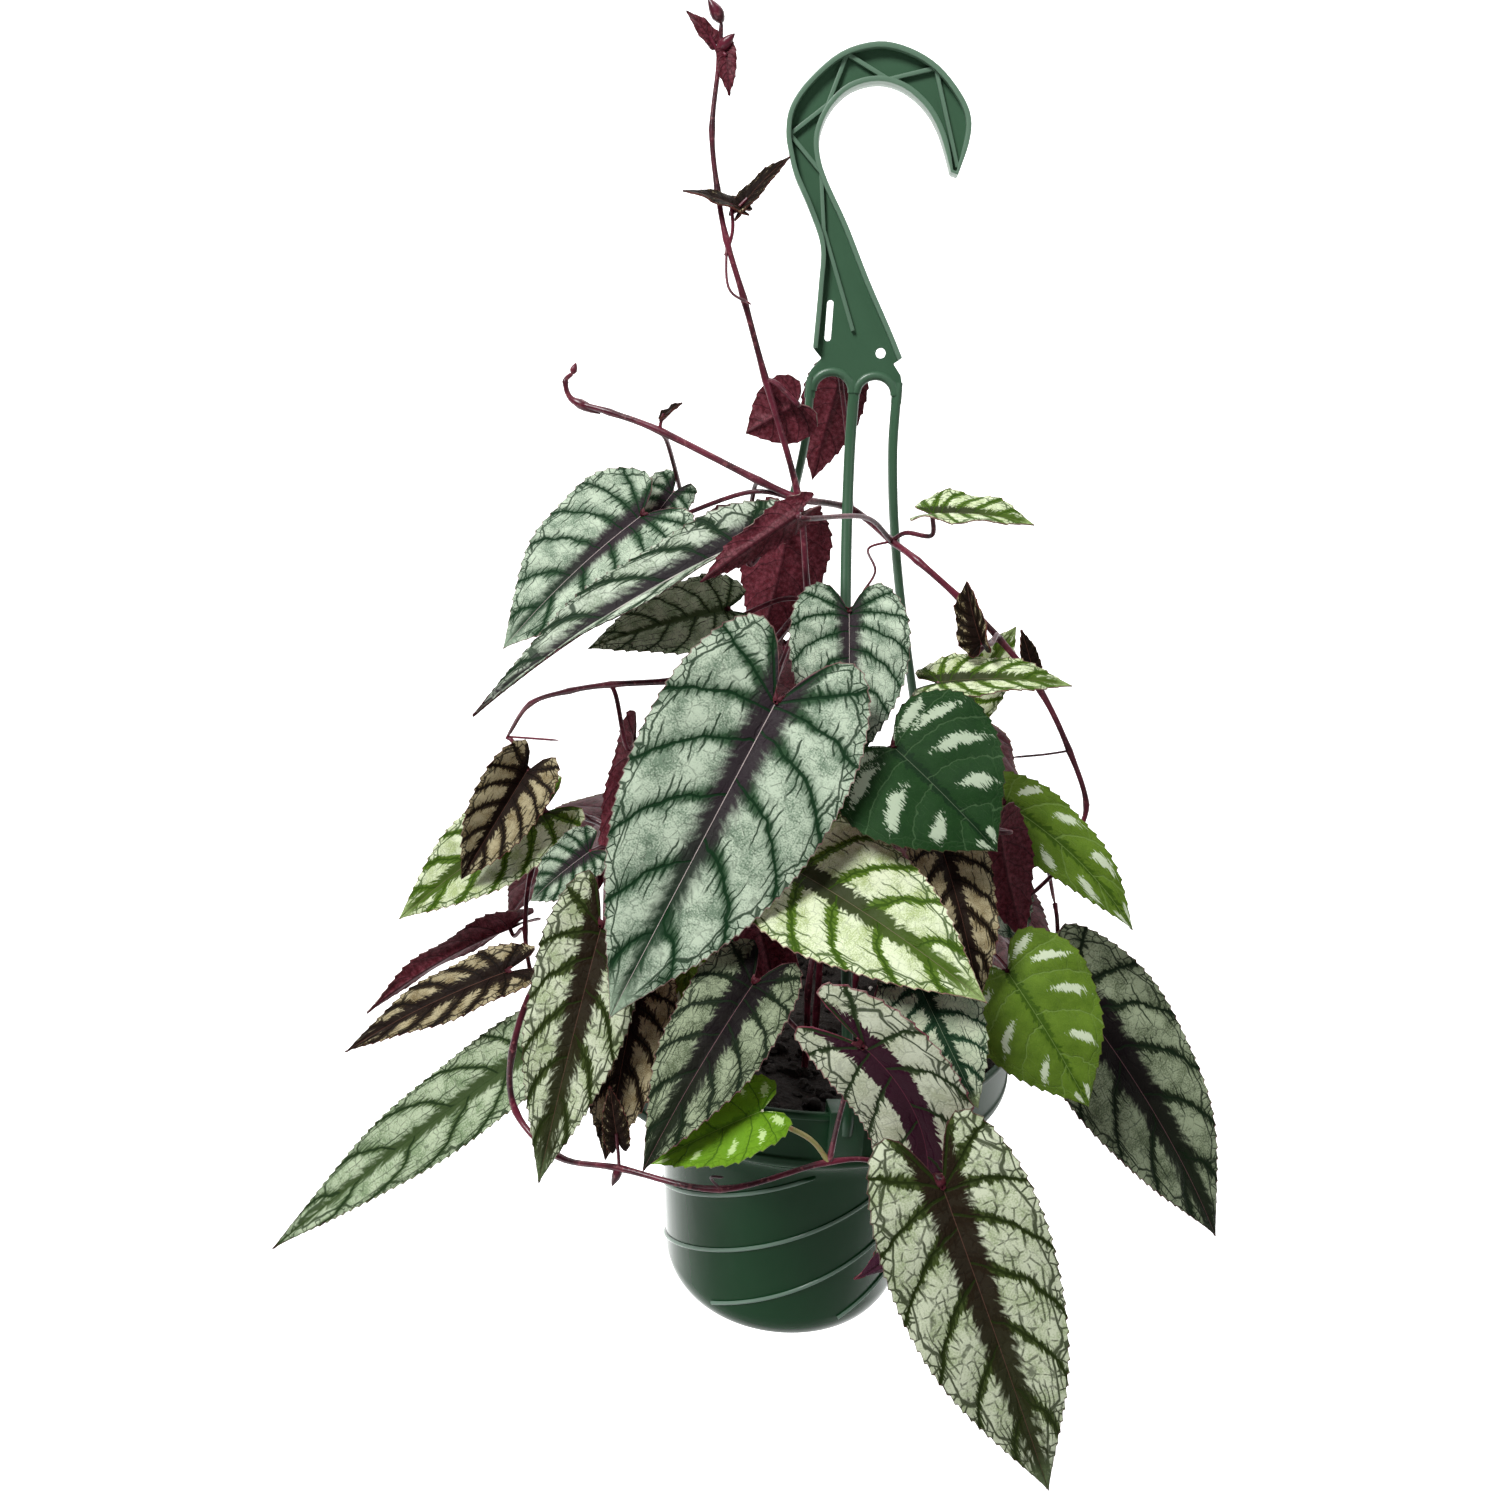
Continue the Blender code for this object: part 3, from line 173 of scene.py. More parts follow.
# Each leaf hangs from a point of a vine, runs from its joint to its tip and turns
# its upper side to a compass angle (0 is the viewer, 90 the right) and a height.
LEAVES = (
    leaf("front_mint", "main", 4, (-16, -72, -191), (-61, -92, -294), (7, 27), 0.285, droop=18),
    leaf("front_upper", "main", 5, (5, -40, -166), (9, -58, -216), (2, 20), 0.36),
    leaf("right_dark", "main", 3, (23, -60, -205), (57, -78, -231), (6, 26), 0.6, "dark"),
    leaf("front_lime", "front", 5, (-9, -68, -245), (55, -108, -268), (1, 47), 0.31, "lime"),
    leaf("right_brown", "front", 5, (41, -60, -236), (57, -80, -283), (20, 20), 0.26, "brown"),
    leaf("right_teal", "front", 4, (36, -92, -272), (57, -104, -306), (0, 22), 0.35, "teal"),
    leaf("front_curled", "fringe", 10, (20, -110, -286), (25, -92, -382), (-4, 12), 0.155, "plum", sweep=96,
         fold=-0.08, wave=1.0, droop=8),
    leaf("low_right", "fringe", 12, (47, -121, -324), (89, -132, -420), (4, 24), 0.238, "olive", droop=15),
    leaf("far_right", "right", 6, (101, -16, -307), (164, -30, -395), (24, 26), 0.26, "violet", sweep=4),
    leaf("right_green", "right", 2, (68, -62, -279), (97, -78, -317), (14, 26), 0.46, "green"),
    leaf("right_dashed", "right", 4, (66, -24, -232), (113, -38, -270), (14, 24), 0.2, "green", sweep=20),
    leaf("top_right", "main", 16, (30, -22, -133), (63, -30, -134), (10, 60), 0.27, "lime", fold=0.25),
    leaf("right_pale", "main", 19, (37, -37, -187), (80, -42, -184), (16, 58), 0.22, "lime", fold=0.2),
    leaf("right_folded", "main", 19, (49, -37, -173), (43, -29, -154), (-31, 3), 0.24, "brown", fold=0.8),
    leaf("right_magenta", "front", 5, (61, -44, -235), (74, -50, -273), (200, 10), 0.27, "under"),
    leaf("right_hidden", "right", 3, (52, -24, -248), (80, -24, -285), (0, 20), 0.36),
    leaf("left_upper", "main", 6, (-70, -12, -142), (-113, -32, -189), (-9, 35), 0.345),
    leaf("left_striped", "main", 6, (-32, -35, -146), (-113, -68, -204), (-32, 57), 0.12, "striped",
         droop=14, fold=0.5, sweep=-10),
    leaf("left_lower", "main", 5, (-37, -28, -170), (-81, -44, -184), (-6, 34), 0.27, "sage"),
    leaf("centre_red", "main", 16, (-14, -50, -134), (-43, -58, -157), (175, 20), 0.15, "under", droop=12,
         fold=0.3),
    leaf("centre_magenta", "main", 6, (-18, -5, -144), (-27, -5, -193), (163, -1), 0.31, "under"),
    leaf("left_magenta", "main", 27, (-41, 13, -143), (-62, -2, -157), (190, 30), 0.2, "under"),
    leaf("knot_red", "main", 7, (-18, -14, -101), (-35, -14, -112), (180, 0), 0.55, "under"),
    leaf("strap_red", "main", 15, (-5, 16, -92), (-12, 18, -128), (184, 4), 0.30, "under"),
    leaf("left_green", "left", 4, (-104, -8, -256), (-155, -22, -299), (-8, 30), 0.25, "lime"),
    leaf("left_brown", "main", 39, (-108, -16, -238), (-129, -28, -278), (12, 16), 0.26, "brown", fold=0.5),
    leaf("left_red", "main", 36, (-66, -26, -221), (-79, -34, -279), (165, 0), 0.14, "under", fold=0.4),
    leaf("left_grey", "fringe", 3, (-79, -42, -257), (-101, -35, -281), (-10, 30), 0.3),
    leaf("front_left", "fringe", 3, (-68, -74, -271), (-82, -96, -355), (-4, 18), 0.2, "olive", droop=12),
    leaf("left_folded", "left", 7, (-119, 3, -309), (-169, -20, -341), (163, 42), 0.13, "under", fold=0.3),
    leaf("left_cream", "left", 8, (-114, -21, -317), (-172, -35, -350), (-4, 55), 0.16, "brown"),
    leaf("low_left", "left", 9, (-101, -30, -344), (-200, -44, -435), (-16, 36), 0.115, "sage", droop=12),
    leaf("front_tan", "fringe", 2, (-56, -68, -295), (-62, -84, -352), (2, 12), 0.24, "brown"),
    leaf("front_purple", "fringe", 11, (-16, -90, -278), (-44, -122, -328), (-11, 45), 0.25, "violet"),
    leaf("front_bright", "fringe", 10, (-10, -106, -313), (-43, -112, -332), (-16, 46), 0.31, "bright"),
    leaf("front_magenta", "front", 5, (-16, -66, -268), (-5, -84, -297), (178, -10), 0.27, "under"),
    leaf("front_deep", "fringe", 2, (-40, -58, -280), (-39, -66, -310), (0, 20), 0.3, "green"),
    leaf("left_small", "main", 28, (-62, 9, -135), (-79, 5, -164), (-12, 20), 0.28),
    leaf("back_left_upper", "back_left", 3, (-44, 28, -208), (-59, 33, -250), (220, 30), 0.25),
    leaf("back_upper", "back_left", 3, (-19, 52, -196), (-36, 94, -268), (183, 40), 0.28),
    leaf("right_behind", "back_right", 4, (48, -8, -202), (65, -4, -172), (0, 10), 0.3, "lime"),
    leaf("right_back", "back_right", 4, (60, 38, -220), (80, 62, -270), (120, 32), 0.26, "lime"),
    leaf("back_left", "back_left", 6, (-86, 50, -272), (-140, 80, -342), (220, 28), 0.25, "olive"),
    leaf("back_centre_left", "back_left", 6, (-42, 88, -270), (-60, 126, -356), (196, 24), 0.25),
    leaf("back_centre", "back_right", 6, (18, 92, -276), (24, 130, -366), (176, 24), 0.25, "lime"),
    leaf("back_right", "back_right", 7, (76, 70, -302), (111, 100, -389), (145, 26), 0.24, "olive"),
    leaf("back_low_left", "left", 8, (-96, 46, -340), (-109, 60, -427), (240, 34), 0.24, "brown"),
    leaf("back_low_right", "back_right", 8, (98, 34, -322), (138, 60, -402), (120, 30), 0.25),
    leaf("back_low", "back_left", 8, (-26, 98, -350), (-34, 116, -426), (190, 16), 0.24, "plum"),
    leaf("back_low_side", "back_right", 8, (52, 90, -356), (72, 112, -428), (155, 18), 0.26, "green"),
)

# Each vine is one or more runs of points. The first run starts in the soil, and a
# later run starts on a point of an earlier one.
VINES = {
    "main": (
        ((6, -10, -356), (6, -12, -326), (5, -16, -280), (3, -20, -230), (1, -20, -197),
         (-9, -20, -166), (-15, -20, -132), (-29, -18, -94), (-38, -16, -69), (-45, -14, -51),
         (-49, -12, -36), (-52, -10, -18), (-51, -8, 3), (-51, -8, 14)),
        ((-15, -20, -132), (3, 3, -136), (18, -8, -145), (27, -18, -150), (42, -22, -161),
         (57, -20, -174), (74, -18, -192), (87, -16, -213), (96, -14, -233), (93, -16, -246),
         (87, -22, -256), (78, -27, -265)),
        ((-15, -20, -132), (-29, -18, -127), (-64, -14, -113), (-82, -12, -108), (-95, -10, -105),
         (-98, -10, -99), (-96, -8, -96)),
        ((-9, -20, -166), (-30, -30, -191), (-53, -34, -195), (-75, -30, -199), (-91, -24, -204),
         (-107, -16, -212), (-118, -6, -228)),
    ),
    "front": (
        ((3, -32, -356), (3, -38, -326), (2, -46, -300), (4, -50, -280), (14, -50, -262),
         (28, -48, -242)),
    ),
    "fringe": (
        ((-20, -32, -356), (-26, -42, -318), (-46, -56, -294), (-70, -54, -282), (-90, -64, -296),
         (-98, -70, -322), (-96, -72, -344), (-78, -84, -352), (-55, -97, -345), (-21, -104, -344),
         (13, -98, -334), (33, -90, -338), (70, -105, -338)),
    ),
    "left": (
        ((-28, -6, -356), (-32, -8, -320), (-44, -12, -290), (-65, -6, -271), (-86, 0, -260),
         (-103, 8, -267), (-110, 2, -285), (-110, -6, -306), (-106, -12, -322), (-100, -20, -334)),
    ),
    "right": (
        ((28, 4, -356), (30, 2, -322), (40, -6, -290), (52, -14, -264), (66, -10, -250),
         (84, -4, -256), (94, 6, -280)),
    ),
    "back_left": (
        ((-16, 22, -356), (-16, 24, -320), (-20, 26, -270), (-22, 26, -214), (-6, 20, -160)),
        ((-20, 26, -270), (-60, 40, -258), (-76, 66, -300), (-60, 84, -340)),
    ),
    "back_right": (
        ((20, 22, -356), (22, 24, -320), (26, 26, -270), (29, 36, -224), (46, 42, -212)),
        ((26, 26, -270), (40, 60, -256), (66, 62, -290), (76, 66, -330)),
    ),
}

# Thin things fused to a vine: tendrils, buds and unopened leaves.
TENDRILS = (
    ("main", ((-45, -14, -51), (-43, -18, -66), (-35, -20, -71))),
    ("main", ((-118, -6, -228), (-109, -9, -227), (-97, -12, -226))),
    ("main", ((87, -16, -213), (78, -20, -214), (66, -24, -215))),
    ("main", ((18, -8, -145), (10, -11, -148), (13, -15, -155), (9, -16, -163))),
    ("fringe", ((-21, -104, -344), (-24, -107, -338), (-20, -109, -336))),
)
BUDS = (
    ("main", (-51, -8, 14), (-0.6, -0.2, 0.8), 8, 2.2),
    ("main", (-51, -8, 6), (0.7, -0.3, 0.6), 7, 1.8),
    ("main", (-95, -10, -105), (1.0, 0.0, -0.4), 11, 1.8),
    ("main", (-96, -8, -96), (0.3, 0.0, 1.0), 4, 1.3),
    ("fringe", (-55, -97, -345), (-0.3, 0.0, -1.0), 8, 1.6),
)
YOUNG_LEAVES = (
    ("main", (-45, -14, -56), (-41, -16, -41), (-60, -15, -37), (0, 60), 0.20),
    ("main", (-41, -16, -41), (-41, -16, -41), (-26, -14, -25), (0, 50), 0.16),
    ("main", (-51, -8, 3), (-53, -9, 8), (-62, -10, 16), (0, 40), 0.24),
    ("main", (-51, -8, 3), (-49, -9, 6), (-47, -10, -8), (0, 20), 0.22),
    ("main", (-64, -14, -113), (-64, -14, -108), (-57, -14, -103), (0, 60), 0.22),
    ("main", (74, -18, -192), (70, -20, -184), (64, -22, -170), (0, 20), 0.20),
    ("fringe", (-55, -97, -345), (-56, -96, -336), (-60, -92, -318), (10, 10), 0.22),
)

# Leaves on pale stalks.
PALE_STALKS = ("leaf_front_bright",)

# Young leaves that are still maroon all over.
RED_TIPS = (2, 3)

# Leaf detail. Each side vein meets the half outline at a place counted in its points:
# first on the right half and then on the left, in leaves with many veins and with few.
MANY_VEINS = ((0.0, 2.1, 4.1, 5.8, 7.3, 8.7, 10.1, 11.6, 14.0),
              (0.0, 1.9, 3.8, 5.4, 6.9, 8.3, 9.6, 11.1, 14.0))
FEW_VEINS = ((0.0, 2.6, 5.2, 7.4, 9.4, 11.4, 14.0), (0.0, 2.3, 4.8, 7.0, 9.0, 11.0, 14.0))
TOOTH_STEP = 4.2
TOOTH_SIZE = 0.75
TOOTH_SHARE = 0.018
TOOTH_PHASES = ((0.0, 0.0), (0.42, 0.4), (0.74, 1.0), (0.90, 0.30))
CROSS_ROWS = (0.0, 0.025, 0.07, 0.13, 0.21, 0.30, 0.40, 0.50, 0.60, 0.70, 0.79, 0.87, 0.94, 1.0)
BOW = 0.11
BLADE_LOOK = 0.45
MIDRIB_RAISE = 0.8
MIDRIB_SINK = 0.55
QUILT = 0.060
QUILT_SPACING = 13.0
RUNG = 2.7
FRONT_LIMIT = CAD_BOUNDS[0][1] / MM + 0.02

# The length at which the markings have their own size, and how far apart they lie
# for one leaf and the next.
USUAL_LENGTH = 95.0
MAP_SHIFT = (37.0, 17.0)

# The maps that a blade carries for its markings, and what their two values are.
MAPS = (("veins", "count", "across"), ("flat", "flat_x", "flat_y"), ("reach", "from_rib", "from_margin"),
        ("lines", "spacing", "walked"), ("share", "share", "number"))

# Linear colours and widths in millimetres for each kind of leaf. The band lies
# along the side veins and the centre along the midrib. Soft blurs their edges and
# ragged breaks them into points. Spots are the half lengths of the pale spots along
# and across, and their place from the midrib. The seven colours without a name are
# the patch, the dull ground, the band, the centre, the midrib, the rim and the veins.
def look(patch, dull, band, centre, rib, rim, vein, **own):
    """The looks of one kind of leaf, with the usual values filled in."""
    usual = dict(band_soft=0.3, band_near=1.5, ragged=4.0, band_share=0.97, tip_centre=None,
                 centre_soft=0.8, centre_ragged=8.0, centre_tip=0.20, core=0.36, net=0.36, net_share=0.88,
                 rib_width=0.13, tip=None, tip_share=0.0, shade=5.0, shade_share=0.45, mesh=0.30,
                 spots=None)
    return SimpleNamespace(patch=patch, dull=dull, band=band, centre=centre, rib=rib, rim=rim, vein=vein,
                           **(usual | own))


LOOKS = {
    "mint": look(
        (0.60, 0.71, 0.55), (0.18, 0.26, 0.18), (0.024, 0.070, 0.028), (0.036, 0.026, 0.032),
        (0.60, 0.50, 0.48), (0.26, 0.13, 0.13), (0.008, 0.034, 0.012), tip_centre=(0.018, 0.050, 0.023),
        band_width=0.9, band_soft=1.3, band_near=2.4, ragged=4.0, band_share=0.93, centre_width=6.0,
        centre_tip=0.28, shade=6.0, shade_share=0.62, mesh=0.45, tip=(0.46, 0.60, 0.44), tip_share=0.65,
        centre_soft=2.6, centre_ragged=6.0),
    "dark": look(
        (0.50, 0.60, 0.44), (0.022, 0.070, 0.018), (0.008, 0.030, 0.009), (0.008, 0.026, 0.010),
        (0.16, 0.20, 0.13), (0.08, 0.05, 0.03), (0.060, 0.120, 0.050), band_width=0.8, centre_width=4.0,
        spots=(8.5, 4.4, 0.58)),
    "lime": look(
        (0.78, 0.86, 0.60), (0.42, 0.52, 0.22), (0.088, 0.170, 0.010), (0.036, 0.046, 0.016),
        (0.18, 0.14, 0.09), (0.34, 0.16, 0.16), (0.040, 0.090, 0.006), tip_centre=(0.070, 0.130, 0.012),
        band_width=1.4, centre_width=5.5, centre_tip=0.35, net=0.42, tip=(0.42, 0.56, 0.22), tip_share=0.7,
        shade=3.5, shade_share=0.35),
    "brown": look(
        (0.50, 0.44, 0.27), (0.22, 0.17, 0.08), (0.026, 0.015, 0.007), (0.015, 0.008, 0.006),
        (0.16, 0.07, 0.05), (0.16, 0.05, 0.04), (0.008, 0.005, 0.003), band_width=1.2, band_near=2.0,
        ragged=5.5, centre_width=5.5, centre_tip=0.4, net=0.45),
    "plum": look(
        (0.68, 0.72, 0.56), (0.46, 0.50, 0.34), (0.050, 0.075, 0.030), (0.034, 0.005, 0.017),
        (0.12, 0.03, 0.05), (0.26, 0.06, 0.09), (0.020, 0.036, 0.012), tip_centre=(0.048, 0.006, 0.024),
        band_width=0.3, band_near=0.6, centre_width=4.7, centre_tip=0.75, centre_soft=0.35,
        centre_ragged=5.0, net=0.34, shade_share=0.25),
    "olive": look(
        (0.70, 0.76, 0.56), (0.40, 0.48, 0.27), (0.046, 0.070, 0.012), (0.022, 0.014, 0.008),
        (0.12, 0.06, 0.045), (0.10, 0.04, 0.04), (0.020, 0.032, 0.006), tip_centre=(0.028, 0.034, 0.010),
        band_width=0.65, band_near=2.0, ragged=3.6, centre_width=6.2, centre_tip=0.40, centre_soft=1.2,
        net=0.48, tip=(0.24, 0.34, 0.16), tip_share=0.4, mesh=0.80, shade_share=0.35),
    "green": look(
        (0.66, 0.75, 0.55), (0.185, 0.305, 0.034), (0.040, 0.090, 0.006), (0.036, 0.085, 0.006),
        (0.24, 0.34, 0.10), (0.10, 0.09, 0.03), (0.170, 0.270, 0.060), band_width=2.0, centre_width=3.0,
        spots=(7.0, 2.9, 0.60)),
    "striped": look(
        (0.60, 0.68, 0.55), (0.28, 0.35, 0.25), (0.036, 0.066, 0.032), (0.030, 0.024, 0.028),
        (0.66, 0.62, 0.56), (0.16, 0.12, 0.10), (0.010, 0.030, 0.012), band_width=0.6, band_soft=0.5,
        band_near=1.2, centre_width=4.5, centre_soft=1.8, centre_ragged=5.0, rib_width=0.34, mesh=0.55),
    "bright": look(
        (0.60, 0.80, 0.34), (0.210, 0.410, 0.020), (0.110, 0.270, 0.012), (0.100, 0.240, 0.012),
        (0.34, 0.50, 0.12), (0.16, 0.20, 0.05), (0.050, 0.130, 0.008), band_width=1.6, centre_width=2.5,
        spots=(6.0, 2.8, 0.62)),
    "sage": look(
        (0.54, 0.64, 0.44), (0.20, 0.29, 0.15), (0.085, 0.135, 0.050), (0.055, 0.090, 0.030),
        (0.045, 0.080, 0.025), (0.14, 0.11, 0.06), (0.020, 0.042, 0.013), band_width=0.5, band_soft=0.5,
        band_near=0.9, mesh=0.60, centre_width=3.2, centre_soft=1.0, centre_ragged=5.0, rib_width=0.28),
    "teal": look(
        (0.64, 0.72, 0.52), (0.38, 0.48, 0.32), (0.026, 0.076, 0.034), (0.012, 0.042, 0.018),
        (0.26, 0.34, 0.22), (0.12, 0.10, 0.06), (0.012, 0.040, 0.018), band_width=0.9, band_near=1.6,
        ragged=5.0, mesh=0.50, centre_width=5.0, centre_tip=0.3, net=0.40, tip=(0.40, 0.52, 0.24),
        tip_share=0.8),
    "violet": look(
        (0.34, 0.40, 0.26), (0.10, 0.13, 0.07), (0.013, 0.022, 0.009), (0.010, 0.007, 0.008),
        (0.20, 0.10, 0.11), (0.20, 0.08, 0.09), (0.008, 0.018, 0.007), tip_centre=(0.012, 0.018, 0.009),
        band_width=0.7, band_near=2.4, ragged=4.5, centre_width=8.0, centre_tip=0.35, centre_soft=1.6,
        net=0.36, mesh=0.60, shade_share=0.60),
}
LOOKS["under"] = LOOKS["mint"]
UNDER = (0.092, 0.009, 0.016)
UNDER_PALE = (0.200, 0.044, 0.062)
UNDER_NET = (0.030, 0.003, 0.007)


def arc(y, length, total):
    """How far along and how far down a strip gets that bends through a total angle."""
    if abs(total) < 1e-4:
        return y, y * 0.0
    return length / total * np.sin(total * y / length), length / total * (1 - np.cos(total * y / length))


def shaped(x, y, relief, row, length, half_width):
    """Points of a blade in its own frame, folded, waved, drooped and swept aside."""
    share = y / length
    edge = x / half_width
    lift = row.fold * np.abs(x) + relief
    lift += row.wave * np.sin(share * 11.0 + np.where(x > 0, 1.7, 0.4)) * edge * edge
    lift += 0.5 * row.wave * np.sin(share * 5.0 + 1.0) * edge
    droop, swept = math.radians(row.droop), math.radians(row.sweep)
    bend, turn = droop * share, swept * share
    reach, down = arc(y, length, droop)
    along, aside = arc(y, length, swept)
    return np.stack((aside + x * np.cos(turn), reach - y + along - x * np.sin(turn) + lift * np.sin(bend),
                     lift * np.cos(bend) - down), axis=-1)


def facing(angles):
    azimuth, height = [math.radians(a) for a in angles]
    return Vector((math.sin(azimuth) * math.cos(height), -math.cos(azimuth) * math.cos(height),
                   math.sin(height)))


def blade_frame(row):
    """The matrix that sets a blade's own frame in the world, with its reach, half width and up."""
    joint = Vector(row.joint)
    chord = Vector(row.tip) - joint
    reach = chord.length
    half_width = row.width * reach
    own = Vector(shaped(np.zeros(1), np.full(1, reach), np.zeros(1), row, reach, half_width)[0])
    frames = []
    for along, up in ((own.normalized(), Vector((0, 0, 1))), (chord.normalized(), facing(row.face))):
        up = (up - along * up.dot(along)).normalized()
        frames.append(np.array((along, up, along.cross(up))))
    turn = frames[0].T @ frames[1] * (reach / own.length)
    return turn, np.array(joint), reach, half_width, up


def smooth_step(low, high, x):
    t = np.clip((x - low) / (high - low), 0.0, 1.0)
    return t * t * (3 - 2 * t)


def catmull(rows, pieces):
    """Points on a Catmull-Rom curve through rows of numbers."""
    rows = np.asarray(rows, float)
    ends = np.vstack((rows[0] * 2 - rows[1], rows, rows[-1] * 2 - rows[-2]))
    t = (np.arange(pieces) / pieces)[:, None]
    runs = []
    for a, b, c, d in zip(ends, ends[1:], ends[2:], ends[3:]):
        runs.append(0.5 * (2 * b + (c - a) * t + (2 * a - 5 * b + 4 * c - d) * t * t
                           + (3 * b - a - 3 * c + d) * t ** 3))
    runs.append(rows[-1:])
    return np.vstack(runs)


def margin_columns(length, half_width, tooth, tooth_step):
    """Columns of a half blade, evenly spaced round its margin, with their teeth."""
    table = [(a * half_width, b * length, c * length, k)
             for k, ((a, b), c) in enumerate(zip(OUTLINE, VEIN_START))]
    dense = catmull(table, 16)
    dense[:, (0, 2)] = np.maximum(dense[:, (0, 2)], 0.0)
    steps = np.hypot(np.diff(dense[:, 0]), np.diff(dense[:, 1]))
    walked = np.concatenate(([0.0], np.cumsum(steps)))
    teeth = max(7, round(walked[-1] / tooth_step))
    places = [(k + phase) / teeth for k in range(teeth) for phase, _ in TOOTH_PHASES] + [1.0]
    heights = [height for _ in range(teeth) for _, height in TOOTH_PHASES] + [0.0]
    places = np.array(places) * walked[-1]
    x, y, start, number = [np.interp(places, walked, dense[:, k]) for k in range(4)]
    ahead = np.stack((np.gradient(x), np.gradient(y)))
    ahead /= np.maximum(np.hypot(*ahead), 1e-9)
    share = places / walked[-1]
    size = np.array(heights) * tooth * smooth_step(0.05, 0.2, share) * smooth_step(1.0, 0.8, share)
    push = np.stack((ahead[1] + 0.5 * ahead[0], -ahead[0] + 0.5 * ahead[1])) * size
    return x, y, start, number, ahead, push


def blade_grid(length, half_width, tooth, tooth_step):
    """Flat points of a half blade, by column round the margin and row out from the midrib."""
    x, y, start, number, ahead, push = margin_columns(length, half_width, tooth, tooth_step)
    t = np.array(CROSS_ROWS)[None, :]
    run = y - start
    chord = np.maximum(np.hypot(x, run), 1e-6)
    bow = BOW * chord * smooth_step(3.0, 6.5, number) * 4
    arch = t * (1 - t)
    gx = x[:, None] * t + (bow * run / chord)[:, None] * arch + push[0][:, None] * t ** 8
    gy = start[:, None] * (1 - t) + y[:, None] * t - (bow * x / chord)[:, None] * arch
    gy = gy + push[1][:, None] * t ** 8
    gx[:, 0] = 0.0
    slant = np.abs(x / chord * ahead[1] - run / chord * ahead[0])
    margin = (1 - t) * (chord * slant)[:, None]
    walked = t * chord[:, None]
    return gx, gy, number, margin, walked


def vein_fields(gx, gy, number, veins):
    """For each grid point, its place between side veins and their local spacing."""
    count = np.interp(number, veins, np.arange(len(veins)) + np.where(np.arange(len(veins)) == 0, 0.5, 0))
    drift = np.gradient(count)[:, None]
    px, py = np.gradient(gx, axis=0), np.gradient(gy, axis=0)
    tx, ty = np.gradient(gx, axis=1), np.gradient(gy, axis=1)
    size = np.maximum(np.hypot(tx, ty), 1e-6)
    spacing = np.abs(px * ty - py * tx) / size / np.maximum(drift, 1e-6)
    return np.repeat(count[:, None], gx.shape[1], 1), spacing


